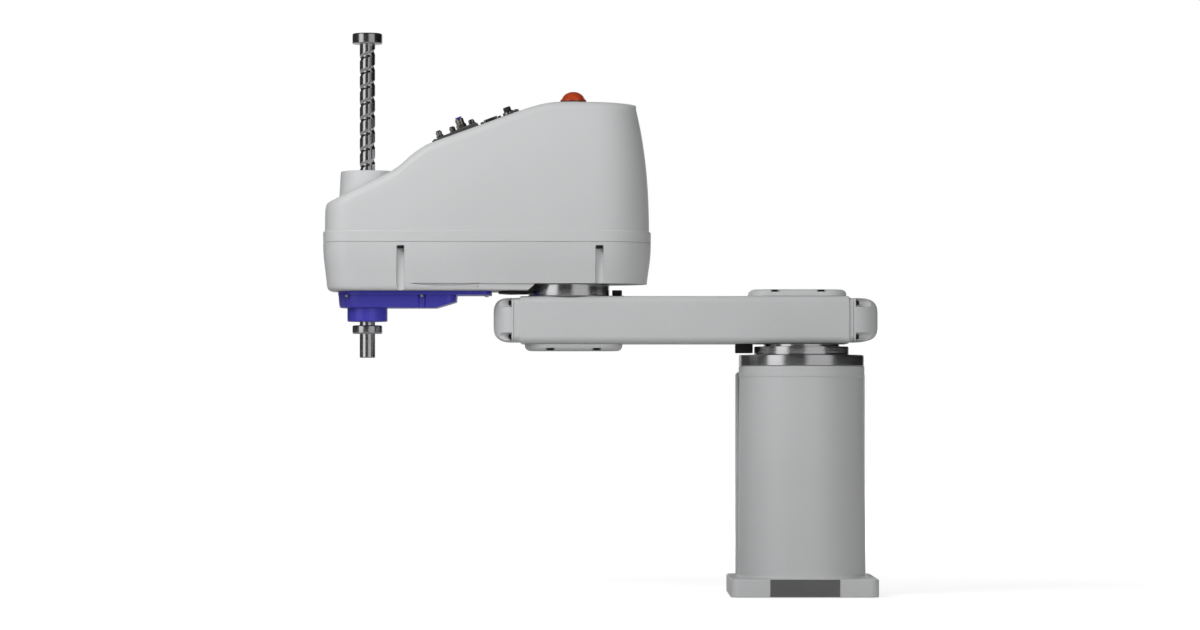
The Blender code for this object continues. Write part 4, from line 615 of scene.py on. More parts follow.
BOARDS = (
    # name, brightness, spans of the azimuth in degrees; the last one lies on the floor
    ("white_board", 1.15, ((-66, -32), (154, 172))),
    ("grey_board", 0.6, ((8, 57), (186, 206))),
    ("dark_cloth", 0.05, ((-180, 0),)),
    ("black_cloth", 0.015, ((-180, 360),)),
    ("grey_mat", 0.35, ()),
)
LOW_BOARDS = 2              # the first two end at the boards' top, the cloths go on over the ceiling
STAGE = (-330, 0, 0)
WALL_RADIUS = 5300
BOARD_TOP = 3600
CEILING = 7000
MAT_RADIUS = 3800


def build_boards():
    """Cloth and boards round the stage, far off; only polished and glossy surfaces show them."""
    outline = [(WALL_RADIUS, -20), (WALL_RADIUS, BOARD_TOP), (WALL_RADIUS, CEILING), (0, CEILING)]
    wall = turned("wall", outline, STAGE, 120)
    mat = turned("mat", [(MAT_RADIUS, -0.3), (0, -0.3)], STAGE, 120)
    surround = join("surround", [wall, mat])
    for name, shade, _ in BOARDS:
        cloth = bpy.data.materials.new(name)
        cloth.use_nodes = True
        shader = cloth.node_tree.nodes["Principled BSDF"]
        shader.inputs["Base Color"].default_value = (0, 0, 0, 1)
        shader.inputs["Specular IOR Level"].default_value = 0
        shader.inputs["Emission Color"].default_value = (1, 1, 1, 1)
        shader.inputs["Emission Strength"].default_value = shade
        cloth.cycles.emission_sampling = "NONE"
        surround.data.materials.append(cloth)
    for face in surround.data.polygons:
        if face.center.z < 0:
            face.material_index = len(BOARDS) - 1
            continue
        across = face.center.x - STAGE[0] * MM
        azimuth = math.degrees(math.atan2(across, -face.center.y))
        for index, (_, _, spans) in enumerate(BOARDS):
            within = index >= LOW_BOARDS or face.center.z < BOARD_TOP * MM
            if within and any(low <= azimuth + turn <= high for low, high in spans for turn in (0, 360)):
                face.material_index = index
                break
    for kind in ("camera", "diffuse", "shadow", "transmission", "volume_scatter"):
        setattr(surround, "visible_" + kind, False)


# Base


FLANGE_TOP = 29
FLANGE_HALF = 118
PAD_FACE = -119
COLUMN_TOP = 367
COLUMN_FOOT_RADIUS = 103
FOOT_FILLET = 5
REAR_COVER_TOP = 359
REAR_FACE = 112
REAR_SCREW_SPOTS = [(x, REAR_FACE + 0.05, z) for x in (-89.5, 89.5) for z in (49, 194, 339)]
PLATE_FACE = 114.8
CONNECTOR_FOOT = 115.1


def build_base():
    corner = (FLANGE_HALF, FLANGE_HALF, FLANGE_TOP)
    casting = block("base_casting", (-FLANGE_HALF, -FLANGE_HALF, 0), corner, 15, 3, 1.5, 8)
    pad = block("pad", (-56, PAD_FACE, 0), (56, -108, FLANGE_TOP))
    round_edges(pad, 0.7, 2, lambda a, b: max(a.y, b.y) < PAD_FACE + 0.1)
    profile = [(0, COLUMN_TOP), (100.8, COLUMN_TOP), (101.3, 366.4), (101.3, 352), (101, 350.6),
               (100.4, 349.5), (101, 260), (101.7, 190), (102.4, 110), (103, 35)]
    for step in range(1, 7):
        angle = math.pi / 2 * step / 6
        profile.append((COLUMN_FOOT_RADIUS + FOOT_FILLET * (1 - math.cos(angle)),
                        FLANGE_TOP + FOOT_FILLET * (1 - math.sin(angle))))
    profile += [(108, 20), (0, 20)]
    column = turned("column", profile, steps=128)
    weld(casting, pad, column)
    window = block("window", (-45, 45, 80), (45, 110, 300))
    bore = rod(6.75, -2, 40)
    holes = copies(bore, [(x, y, 0) for x in (-88, 88) for y in (-88, 88)])
    cut(casting, rod(91.4, 14, 400, steps=96), window, holes)
    fit(casting, "base", CAST, "base_housing", angle=28)
    casting.data.materials.append(PAD.material)
    for face in casting.data.polygons:
        if face.normal.y < -0.99 and face.center.y < (PAD_FACE + 0.1) * MM:
            face.material_index = 1


def build_rear_cover():
    low = FLANGE_TOP + 0.3
    cover = block("rear_cover", (-103.5, 24, low), (103.5, REAR_FACE, REAR_COVER_TOP))
    round_edges(cover, 12, 8, lambda a, b: upright(a, b) and a.y > REAR_FACE - 1)
    round_edges(cover, 6, 5, lambda a, b: level_at(REAR_COVER_TOP)(a, b) and max(a.y, b.y) > 24.01)
    inside = block("inside", (-100.5, 10, low + 3), (100.5, 109, 356))
    round_edges(inside, 9, 6, lambda a, b: upright(a, b) and a.y > 108)
    room = turned("room", [(0, 380), (101.6, 380), (101.6, 352), (100.7, 349), (102, 190), (103.3, 34.5),
                           (104.6, 31), (107.6, 29.4), (108.3, 28), (0, 28)], steps=128)
    seat = turned("seat", [(0, 2), (5.4, 2), (4.6, -0.9), (2.2, -3), (2.2, -12), (0, -12)], steps=32)
    cut(cover, inside, room, copies(seat, REAR_SCREW_SPOTS, BACK))
    fit(cover, "base", COVER, "base_rear_cover")
    screw = turned("rear_cover_screws", [(0, -0.2), (3.0, -0.35), (4.1, -0.9), (4.3, -1.3), (2.1, -3.2),
                                         (0, -3.2)], steps=28)
    cross = block("cross", (-2.2, -0.35, -1.9), (2.2, 0.35, 1))
    other = block("other", (-0.35, -2.2, -1.9), (0.35, 2.2, 1))
    cut(screw, cross, other)
    fit(copies(screw, REAR_SCREW_SPOTS, BACK, "rear_cover_screws"), "base", NICKEL)


def on_back(x, z):
    """The place of a piece on the connector panel."""
    return shift((x, CONNECTOR_FOOT, z)) @ Matrix.Rotation(-math.pi / 2, 4, "X")


def build_connectors():
    """The panel at the back with a power inlet, a signal socket, a user socket and two air fittings."""
    panel = block("connector_plate", (-72, 112.3, 120), (72, PLATE_FACE, 310))
    round_edges(panel, 4, 4, along_y)
    soften(panel, 0.4, 1)
    fit(panel, "base", ALUMINIUM, "connector_panel")
    corners = [(x, PLATE_FACE + 0.1, z) for x in (-65, 65) for z in (127, 303)]
    fit(copies(socket_screw("connector_plate_screws", 3.5, 2.4, 1.5), corners, BACK), "base", NICKEL)

    power = block("power_inlet", (-58, CONNECTOR_FOOT, 238), (-14, 139.1, 282))
    round_edges(power, 4, 4, along_y)
    cut(power, soften(block("well", (-53, 121, 243), (-19, 145, 277)), 2, 2))
    core = block("core", (-47, 118, 249), (-25, 136.5, 271))
    round_edges(core, 2, 3, along_y)
    pins = [(x, 136, z) for x in (-42, -36, -30) for z in (254, 260, 266)]
    cut(core, copies(rod(1.5, -9, 4), pins, BACK))
    ears = [block("ear", (x, 116, 252), (x + 3, 132, 268), 0, 1) for x in (-61, -14)]
    power = join("power_inlet", [soften(power, 0.5, 1), core] + ears)
    fit(power, "base", BLACK, "power_connector")
    latch = [block("latch", (x, 126, 254), (x + 1.4, 137, 266)) for x in (-62.3, -12.1)]
    fit(soften(join("power_inlet_latches", latch), 0.3, 1), "base", NICKEL)

    signal = block("signal_socket", (10, CONNECTOR_FOOT, 244), (60, 131.1, 276))
    round_edges(signal, 3, 3, along_y)
    cut(signal, block("well", (14, 119, 249), (56, 140, 271)))
    tongue = block("tongue", (18, 118, 257), (52, 129, 263))
    signal = join("signal_socket", [soften(signal, 0.5, 1), soften(tongue, 0.4, 1)])
    fit(signal, "base", BLACK, "signal_connector")
    contact = block("contact", (-0.5, -0.5, 0), (0.5, 0.5, 9))
    spots = [(20 + 2.5 * step, 119.5, z) for step in range(13) for z in (256.6, 263.4)]
    fit(copies(contact, spots, BACK, "signal_socket_contacts"), "base", NICKEL)

    add_dsub("user_socket", (44, 14, 7), 25, on_back(-36, 170), "base", "user_connector")
    for number, x in ((1, 24), (2, 48)):
        add_fitting("back_fitting_%%s_%d" % number, 6.1, 15, on_back(x, 170), "base", BLACK,
                    "base_air_fitting_%d" % number)


def add_dsub(name, size, ways, place, body, replaced):
    """A D-shaped socket on its flange, its moulded core with holes, and its two hexagon posts."""
    length, width, height = size
    flange = block("shell", (-length / 2, -width / 2, 0), (length / 2, width / 2, 1.2), 2.5)
    rim = block("rim", (-length * 0.32, -width * 0.34, 1), (length * 0.32, width * 0.34, height), 3.4)
    reshape(rim, lambda corner: corner.y > 0, ratio=(0.93, 1, 1))
    hole = block("hole", (-length * 0.3, -width * 0.3, 0.4), (length * 0.3, width * 0.3, height + 2), 3)
    weld(flange, rim)
    cut(flange, hole)
    soften(flange, 0.25, 1)
    far = Vector((length * 0.295, width * 0.29, height - 0.8))
    core = block("core", (-far.x, -far.y, 0.5), far, 2.8)
    first = (ways + 1) // 2
    pitch = length * 0.5 / first
    spots = [((step - (first - 1) / 2) * pitch, -width * 0.12, height) for step in range(first)]
    spots += [((step - (first - 2) / 2) * pitch, width * 0.12, height) for step in range(ways - first)]
    cut(core, copies(rod(0.6, -4, 2, steps=10), spots))
    post = [(1.3, height * 0.75), (2.4, height * 0.75), (2.8, height * 0.65), (2.8, 1.1), (1.3, 1.1)]
    spots = [(-length * 0.41, 0, 0), (length * 0.41, 0, 0)]
    posts = copies(turned("post", post, steps=6, closed=True), spots)
    for piece in (flange, core, posts):
        piece.data.transform(place)
    fit(join(name + "_shell", [flange, posts]), body, NICKEL, replaced)
    core.name = name + "_core"
    fit(core, body, BLACK)


def add_fitting(name, radius, height, place, body, finish, replaced, *by_collar):
    """A push-in fitting: hexagon foot, round barrel, release collar with the tube's mouth."""

    def sized(shares):
        return [(radius * out, height * up) for out, up in shares]

    foot = turned("foot", sized([(0, 0.3), (0.9, 0.3), (1, 0.26)]) +
                  [(radius, 0.4), (radius * 0.93, 0), (0, 0)], steps=6)
    barrel = turned("barrel", sized([(0.5, 0.84), (0.76, 0.84), (0.84, 0.8), (0.84, 0.5), (0.8, 0.48),
                                     (0.8, 0.44), (0.84, 0.42), (0.84, 0.28), (0.5, 0.28)]),
                    steps=40, closed=True)
    barrel = join("fitting_body", [foot, barrel])
    collar = turned("collar", sized([(0.36, 0.6), (0.48, 0.6), (0.48, 0.9), (0.68, 0.92), (0.68, 0.97),
                                     (0.6, 1), (0.42, 1), (0.36, 0.96)]), steps=40, closed=True)
    for piece, part, look, nodes in ((barrel, "body", NICKEL, [replaced]),
                                     (collar, "collar", finish, by_collar)):
        piece.data.transform(place)
        piece.name = name % part
        fit(piece, body, look, *nodes)


# First joint


RING_SCREWS = 12
RING_SCREW_RADIUS = 88.5


def build_joint1():
    low, high = COLUMN_TOP + 0.3, 385.4
    ring = turned("polished_fixed_ring", [
        (55, high), (99.2, high), (100.4, high - 0.4), (101, high - 1.4), (101, low + 1.2),
        (100.4, low + 0.3), (99.8, low), (55, low),
    ], steps=160, closed=True)
    angles = [TURN * (step + 0.5) / RING_SCREWS for step in range(RING_SCREWS)]
    spots = [(RING_SCREW_RADIUS * math.cos(angle), RING_SCREW_RADIUS * math.sin(angle), high)
             for angle in angles]
    seat = turned("seat", [(0, 2), (5.2, 2), (5.2, -0.2), (4.8, -0.6), (4.8, -6), (0, -6)], steps=32)
    cut(ring, copies(seat, spots))
    fit(ring, "base", RING1, "joint1_fixed_ring")
    sunk = [(x, y, z - 5.8) for x, y, z in spots]
    fit(copies(socket_screw("fixed_ring_screws", 4.3, 5, 2.3), sunk), "base", BLACK_OXIDE)

    flange = turned("polished_output_flange", [
        (0, 410), (40, 410), (40, 403), (60.4, 403), (61, 402.4), (61, 399.3), (61.3, 399),
        (75.3, 399), (76.1, 398.6), (76.3, 397.8), (76.3, 386.6), (75.8, 385.7), (0, 385.7),
    ], steps=160)
    fit(flange, "arm1", RING1, "joint1_output_flange")

    for name in ("joint1_stop_bolt_1", "joint1_stop_bolt_2"):
        corner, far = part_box(name)
        middle = (corner + far) / 2 / MM
        radius = (far.x - corner.x) / 2 / MM
        height = (far.z - corner.z) / MM
        bolt = socket_screw(name.replace("joint1_", "").replace("bolt", "screw"), radius, height, 3)
        fit(copies(bolt, [(middle.x, middle.y, corner.z / MM)]), "base", BLACK_OXIDE, name)


# Arm 1


ARM1_SECTION = (76, 130)
ALONG_X = Matrix(((0, 0, 1, 0), (0, 1, 0, 0), (1, 0, 0, ARM1_MIDDLE * MM), (0, 0, 0, 1)))


def build_arm1():
    stations = [(-462.5, 3), (-454.4, 3), (-453.4, 2.2), (-452.2, 0.7), (-450.6, 0), (71.6, 0),
                (73.2, 0.7), (74.4, 2.2), (75.4, 3), (80, 3)]
    casting = carried("arm1_casting_fine", ARM1_SECTION, (10.5, 10.5), stations, 8, ALONG_X)
    cut(casting, rod(40.3, 390, 441, steps=64), rod(45.3, 441, 490, JOINT2, steps=64))
    fit(casting, "arm1", CAST, "arm1_casting")
    build_cap("arm1_end_cap_joint1", "arm1_cap_joint1", 80.3, 40.7, 1)
    build_cap("arm1_end_cap_joint2", "arm1_cap_joint2", -462.8, 33.2, -1)
    build_arm1_cover("arm1_round_cover_top", "arm1_top_cover", -7.5, 479.6, 1)
    build_arm1_cover("arm1_round_cover_bottom", "arm1_bottom_cover", -367.5, 403, -1)

    stop = block("stop_block", (-107, -12, 388.5), (-79, 12, 403))
    soften(stop, 1.4, 3)
    holes = [(-99, 0, 388.5), (-87, 0, 388.5)]
    cut(stop, copies(rod(3.6, -1, 5), holes))
    fit(stop, "arm1", BLACK_OXIDE, "joint1_stop_block")
    heads = socket_screw("stop_block_screws", 3.3, 3.6, 1.6)
    fit(copies(heads, [(x, y, z + 4.6) for x, y, z in holes], DOWN), "arm1", BLACK_OXIDE)

    ring = turned("polished_ring_joint2", [
        (0, 499), (63.8, 499), (65, 498.6), (65.5, 497.8), (65.5, 480.8), (64.8, 479.6), (45, 479.6),
        (45, 431.6), (0, 431.6),
    ], JOINT2, 160)
    fit(ring, "arm1", RING2, "joint2_reducer")
    stopper = turned("joint2_stopper", [
        (0, 6), (3.4, 6.4), (3.4, 10.4), (7, 10.4), (7.7, 10.1), (8, 9.6), (8, 2.6), (7.2, 2.2), (7.2, 1.8),
        (11.2, 1.6), (11.4, 1.2), (11.4, 0), (0, 0),
    ], steps=56)
    knurl(stopper, 8, 28, 0.5)
    fit(copies(stopper, [(-297.5, 0, 479.6)]), "arm1", BLACK_OXIDE, "joint2_stop_bolt", angle=20)


def build_cap(name, replaced, seam, length, way):
    """An end cap that swells to its closed end, with four deep screw pockets."""
    stations = []
    steps = 14
    for step in range(steps + 1):
        angle = math.pi / 2 * step / steps
        fall = 1 - math.cos(angle)
        stations.append((seam + way * length * math.sin(angle), 3 + 24 * fall ** 1.6, 3 + 38 * fall))
    cap = carried(name, ARM1_SECTION, (9.5, 9.5), stations, 8, ALONG_X)
    soften(cap, 1.2, 2, 40)
    spots = [(seam + way * 3.5, y, ARM1_MIDDLE + z) for y in (-57, 57) for z in (-27, 27)]
    pocket = turned("pocket", [(0, 60), (6.5, 60), (6.5, 0.6), (5.9, 0), (2.2, 0), (2.2, -8), (0, -8)])
    slots = []
    for x, y, z in spots:
        reach = sorted((y, y * 1.3))
        along = sorted((x, x + way * 60))
        slots.append(block("slot", (along[0], reach[0], z - 6.5), (along[1], reach[1], z + 6.5)))
    cut(cap, copies(pocket, spots, (way, 0, 0)), *slots)
    soften(cap, 0.5, 2, 50)
    fit(cap, "arm1", CAST, replaced)
    screws = copies(socket_screw(name + "_screws", 3.5, 4, 1.6, 4.4), spots, (way, 0, 0))
    screws.data.transform(Matrix.Translation((way * 1.1 * MM, 0, 0)))
    fit(screws, "arm1", BLACK_OXIDE)


def build_arm1_cover(name, replaced, middle, start, way):
    """A low lid with a broad corner radius; its four screws sit in bays open to the long sides."""
    rim = start + way * 10.8
    floor = start + way * 6.6
    low, high = sorted((start, rim))
    lid = block(name, (middle - 78.5, -56, low), (middle + 78.5, 56, high), 34, 0, 0, 12)
    round_edges(lid, 8.5, 8, level_at(rim))
    spots = [(middle + x, y, floor) for x in (-37, 37) for y in (-46.5, 46.5)]
    bay = turned("bay", [(0, 12), (8.2, 12), (7.6, 4), (7.6, 0.4), (7.2, 0), (0, 0)])
    bays = copies(bay, spots, (0, 0, way))
    slots = []
    for x, y, _ in spots:
        reach = sorted((y, math.copysign(60, y)))
        depth = sorted((floor, start + way * 14))
        slots.append(block("slot", (x - 7.4, reach[0], depth[0]), (x + 7.4, reach[1], depth[1])))
    cut(lid, bays, *slots)
    soften(lid, 0.35, 2, 40)
    fit(lid, "arm1", COVER, replaced)
    fit(copies(socket_screw(name + "_screws", 4.6, 3.8, 2), spots, (0, 0, way)), "arm1", BLACK_OXIDE)


# Arm 2 casting


GROOVES = [(x, y) for x in (-643, -326) for y in (-76.6, 76.6)]
NOSE_END = -394             # lengths along arm 2 run from joint 2
TAIL_END = 132
ARM2_LENGTH = TAIL_END - NOSE_END
ARM2_HALF_WIDTH = 80
NOSE_CORNER = 45
TAIL_CORNER = 78
TAIL_REACH = 90


def build_arm2_casting():
    stations = [(565.2, 0.4), (564.8, 0), (552, 0.2), (540.2, 1), (530, 2.1), (520.2, 3.4),
                (508, 4.8), (496, 6), (492.5, 6.8), (490, 8), (488.6, 9.6), (488, 11.4)]
    half = ARM2_LENGTH / 2
    casting = carried("arm2_body", (ARM2_LENGTH, 2 * ARM2_HALF_WIDTH), (NOSE_CORNER, TAIL_CORNER), stations,
                      18, Matrix())
    reshape(casting, lambda corner: corner.x > half - TAIL_CORNER - 1,
            ratio=(TAIL_REACH / TAIL_CORNER, 1, 1), middle=(half, 0, 0))
    casting.data.transform(Matrix.Translation(((JOINT2_X + TAIL_END - half) * MM, 0, 0)))
    rise = block("rise", (-427, -90, 470), (-230, 90, 499.3))
    reshape(rise, lambda corner: corner.x < -426.9 and corner.z < 470.1, (-36.3, 0, 0))
    grooves = copies(turned("groove", [(0, 559.7), (6, 559.7), (7, 558.7), (7, 470), (0, 470)]),
                     [(x, y, 0) for x, y in GROOVES])
    notches = []
    for side in (-1, 1):
        near, far = sorted((side * 72.2, side * 90))
        band = block("notch", (-520, near, 470), (-420, far, 499.5), 0, 1.5)
        reshape(band, lambda corner: corner.x > -420.1, (0, -side * 1.2, 0))
        notches.append(band)
        disc = [(0, 9), (318, 9), (320, 7), (320, -9), (0, -9)]
        shade = turned("disc", disc, (-571, side * 79, 814.1), 240, False, (0, -side, 0))
        above = block("above", (-900, -100, 499.7), (-240, 100, 1200))
        notches.append(cut(shade, above))
    cut(casting, rise, rod(90, 470, 499.3, JOINT2, steps=96), grooves, *notches,
        rod(34.3, 470, 512, SHAFT, steps=64), rod(40.3, 470, 512, JOINT2, steps=64),
        rod(13.2, 470, 512, (-607, 0, 0)))
    soften(casting, 0.5, 2, 40)
    fit(casting, "arm2", CAST, "arm2_casting", angle=26)
    head = socket_screw("arm2_cover_screws", 4.5, 5, 2)
    screws = copies(head, [(x, y, 559.4) for x, y in GROOVES], DOWN)
    fit(screws, "arm2", BLACK_OXIDE, *["arm2_cover_screw_%d" % number for number in (1, 2, 3, 4)])


# Arm 2 upper cover: distances run from joint 2, heights from the seam


TOP_LINE = [(-391.2, 54), (-389, 60), (-382, 65.5), (-373, 69.5), (-286, 112), (-266, 125.8),
            (-252, 138.6), (-237, 149.6), (-221.5, 158.5), (-77.4, 211.9), (-58, 218.2), (-39.7, 223),
            (-16, 225.6), (30, 225.4), (79, 223.8), (104, 222), (121, 218.8), (129.2, 212)]
STRAIGHT = ((-373, -286), (-221.5, -77.4))
LAMP_X = -368


def line_slopes():
    """A slope at each point of the top line; straight runs keep their own."""
    chords = [(b[1] - a[1]) / (b[0] - a[0]) for a, b in zip(TOP_LINE, TOP_LINE[1:])]
    slopes = [chords[0]]
    for index in range(1, len(TOP_LINE) - 1):
        slopes.append((chords[index - 1] + chords[index]) / 2)
        for start, end in STRAIGHT:
            if TOP_LINE[index][0] == start:
                slopes[-1] = chords[index]
            if TOP_LINE[index][0] == end:
                slopes[-1] = chords[index - 1]
    return slopes + [chords[-1]]


SLOPES = line_slopes()


def top_line(x):
    """Smooth height of the cover along its middle."""
    if x <= TOP_LINE[0][0]:
        return TOP_LINE[0][1]
    for index, ((x0, z0), (x1, z1)) in enumerate(zip(TOP_LINE, TOP_LINE[1:])):
        if x <= x1:
            span = x1 - x0
            t = (x - x0) / span
            rise = (2 * t ** 3 - 3 * t ** 2 + 1) * z0 + (3 * t ** 2 - 2 * t ** 3) * z1
            bend = (t ** 3 - 2 * t ** 2 + t) * SLOPES[index] + (t ** 3 - t ** 2) * SLOPES[index + 1]
            return rise + bend * span
    return TOP_LINE[-1][1]


def cover_plan(share, inset):
    """Distance along the arm and half width, a share of the way from nose to tail."""
    low, high, half = NOSE_END + inset, TAIL_END - inset, ARM2_HALF_WIDTH - inset
    nose, tail, reach = NOSE_CORNER - inset, TAIL_CORNER - inset, TAIL_REACH - inset
    x = low + share * (high - low)
    if x < low + nose:
        return x, half - nose + math.sqrt(max(nose ** 2 - (low + nose - x) ** 2, 0))
    if x > high - reach:
        turned_in = (x - high + reach) / reach
        return x, half - tail + tail * math.sqrt(max(1 - turned_in ** 2, 0))
    return x, half


LIP_PROUD = 2.8
LIP_TOP = 18
LIP_PROFILE = ((0, 0.5), (0.6, 0), (16, 0), (17, 0.35), (17.6, 1.2), (LIP_TOP, 2.2))
SHOULDER = 18
LEAN = 17                   # how far the walls have leant in at LEAN_HEIGHT
LEAN_HEIGHT = 198
COVER_WALL = 4
SHAFT_BORE = 15


def cover_lean(height):
    return LEAN * (max(height, 0) / LEAN_HEIGHT) ** 2.5


def cover_section(share, wall, lip):
    """Half a cross-section, from the foot over the shoulder to the middle."""
    rough = top_line(cover_plan(share, LIP_PROUD)[0]) - wall
    inset = LIP_PROUD + wall + cover_lean(rough)
    height = top_line(cover_plan(share, inset)[0]) - wall
    half = cover_plan(share, inset)[1]
    shoulder = min(max(SHOULDER - wall, 4), half * 0.9, height * 0.5)
    points = []
    if lip:
        for level, out in LIP_PROFILE:
            x, across = cover_plan(share, out)
            points.append((x, across, level))
    first = LIP_TOP + 0.4 if lip else -1
    straight = height - shoulder
    rows = 18 if lip else 3
    for step in range(rows + 1):
        level = first + (straight - first) * step / rows
        x, across = cover_plan(share, LIP_PROUD + wall + cover_lean(level))
        points.append((x, across, level))
    radius = min(shoulder, across)
    arc = 12 if lip else 3
    for step in range(1, arc + 1):
        angle = math.pi / 2 * step / arc
        points.append((x, across - radius * (1 - math.cos(angle)), straight + shoulder * math.sin(angle)))
    return points


def cover_form(name, wall, lip, counts):
    """The cover's moulded form, skinned through its cross-sections."""
    nose, middle, tail = counts
    places = [NOSE_END + NOSE_CORNER * (1 - math.cos(math.pi / 2 * step / nose))
              for step in range(nose + 1)]
    straight = ARM2_LENGTH - NOSE_CORNER - TAIL_REACH
    places += [NOSE_END + NOSE_CORNER + straight * step / middle for step in range(1, middle)]
    places += [TAIL_END - TAIL_REACH * (1 - math.sin(math.pi / 2 * step / tail))
               for step in range(tail + 1)]
    skin = bmesh.new()
    rows = []
    for place in sorted(places):
        half = cover_section((place - NOSE_END) / ARM2_LENGTH, wall, lip)
        ring = half + [(x, -y, z) for x, y, z in reversed(half[:-1])]
        rows.append([skin.verts.new(((x + JOINT2_X) * MM, y * MM, (z + SEAM) * MM)) for x, y, z in ring])
    for row, after in zip(rows, rows[1:]):
        for index in range(len(row) - 1):
            skin.faces.new((row[index], after[index], after[index + 1], row[index + 1]))
    last = len(rows[0]) - 1
    for row in (rows[0], rows[-1]):
        for index in range(last // 2 - 1):
            skin.faces.new((row[index], row[index + 1], row[last - index - 1], row[last - index]))
        middle = last // 2
        skin.faces.new((row[middle - 1], row[middle], row[middle + 1]))
    skin.faces.new([row[0] for row in rows] + [row[-1] for row in reversed(rows)])
    return from_skin(name, skin)


def build_upper_cover():
    cover = cover_form("arm2_cover", 0, True, (16, 60, 26))
    quill = (SHAFT_X, 0, SEAM)
    profile = [(0, 116), (40.6, 116), (41.9, 115.6), (42.7, 114.7), (43, 113.3), (45.5, 70),
               (48.5, 30), (0, 30)]
    housing = turned("housing", profile, quill, 96)
    weld(cover, housing)
    room = turned("room", [(0, 112), (36, 112), (43, 20), (0, 20)], quill, 48)
    pocket = block("pocket", (-74.4, -28.4, -2.5), (74.4, 28.4, 20), 4.3)
    pocket.data.transform(on_slope(0, 0, 0))
    lip_holes = copies(rod(2.3, -2, 9), [(x, y, SEAM) for x, y in GROOVES])
    cut(cover, cover_form("hollow", COVER_WALL, False, (4, 8, 6)), room,
        rod(SHAFT_BORE, 100, 130, quill, steps=64),
        rod(21.8, 0, 60, (LAMP_X, 0, 790.8), steps=64), pocket, lip_holes)
    fit(cover, "arm2", COVER, "arm2_upper_cover", angle=24)
    seal = turned("shaft_seal", [(13.2, 112.5), (13.2, 115), (14.8, 115.4), (14.9, 112.5)], quill, 64, True)
    fit(seal, "arm2", BLACK)


def on_slope(x, y, height):
    """The place of a piece on the cover's slope."""
    slope = math.atan2(211.9 - 158.5, 221.5 - 77.4)
    middle = shift((JOINT2_X - 149.45, 0, SEAM + 186.2))
    return middle @ Matrix.Rotation(-slope, 4, "Y") @ shift((x, y, height))


# User panel and lamp


def build_user_panel():
    panel = block("user_plate", (-74, -28, -2.2), (74, 28, 0.8), 4, 0.4)
    strip = block("strip", (-65, -25, 0.5), (5, 25, 5.4), 2, 0.5)
    ends = []
    for low, high in ((-74, -64), (63, 74)):
        end = block("end", (low, -25, 0.5), (high, 25, 3.6), 2)
        round_edges(end, 2.6, 4, lambda a, b: level_at(3.6)(a, b) and abs(a.x - b.x) < CLOSE)
        ends.append(end)
    panel = join("user_plate", [panel, strip] + ends)
    panel.data.transform(on_slope(0, 0, 0))
    fit(panel, "arm2", DARK, "user_panel")
    heads = copies(socket_screw("user_plate_screws", 2.6, 1.8, 1.3),
                   [(x, y, 3.4) for x in (-69, 69) for y in (-18, 0, 18)])
    heads.data.transform(on_slope(0, 0, 0))
    fit(heads, "arm2", NICKEL)
    manifold = block("fitting_block", (-31, -19, 5.3), (3, 19, 7.8), 3)
    round_edges(manifold, 1, 3, level_at(7.8))
    manifold.data.transform(on_slope(0, 0, 0))
    fit(manifold, "arm2", ZINC)
    for number, (x, y, foot) in enumerate(((-59.4, -9, 5.4), (-37, 10, 5.4), (-4, 10, 7.8)), 1):
        add_fitting("user_fitting_%%s_%d" % number, 6.1, 16.6 - foot, on_slope(x, y, foot), "arm2", BLACK,
                    "air_fitting_%d" % number)
    add_fitting("large_fitting_%s", 8.4, 17.8, on_slope(-21.5, -9, 7.8), "arm2", BLUE,
                "large_air_fitting", "large_fitting_collar")
    add_dsub("user_dsub", (36, 14, 6), 15, on_slope(26.5, 0, 1.1), "arm2", "user_dsub_connector")

    bezel = turned("button_bezel", [
        (6.7, 0), (9.5, 0), (9.5, 4), (9.1, 5.2), (8.2, 5.9), (7.4, 6), (6.8, 5.6),
    ], steps=48, closed=True)
    bezel.data.transform(on_slope(57, 0, 1.1))
    fit(bezel, "arm2", NICKEL, "brake_button_bezel")
    button = turned("button_cap", [(0, 12.9), (3, 13.1), (4.6, 13.5), (5.6, 13.3), (6.2, 12.5), (6.2, 2.5),
                                   (0, 2.5)], steps=48)
    button.data.transform(on_slope(57, 0, 1.1))
    fit(button, "button", BLACK, "brake_release_button")


def build_lamp():
    spot = (LAMP_X, 0, 791.1)
    profile = [(0, 0), (20.9, 0), (21.5, 0.5), (21.5, 2.4), (21.1, 3), (20.4, 3.2), (0, 3.2)]
    seat = turned("lamp_seat", profile, spot, 72)
    fit(seat, "arm2", BLACK, "status_lamp_seat")
    profile = [(0, 18.6), (3, 18.5), (6.5, 17.9), (10, 16.6), (13, 14.8), (15.4, 12.8), (17, 10.6),
               (18.2, 8.4), (19.4, 6.6), (20.8, 5.6), (20.9, 3.6), (0, 3.5)]
    dome = turned("lamp_dome", profile, spot, 72)
    fit(dome, "arm2", ORANGE, "status_lamp_lens")


# Cover under the nose


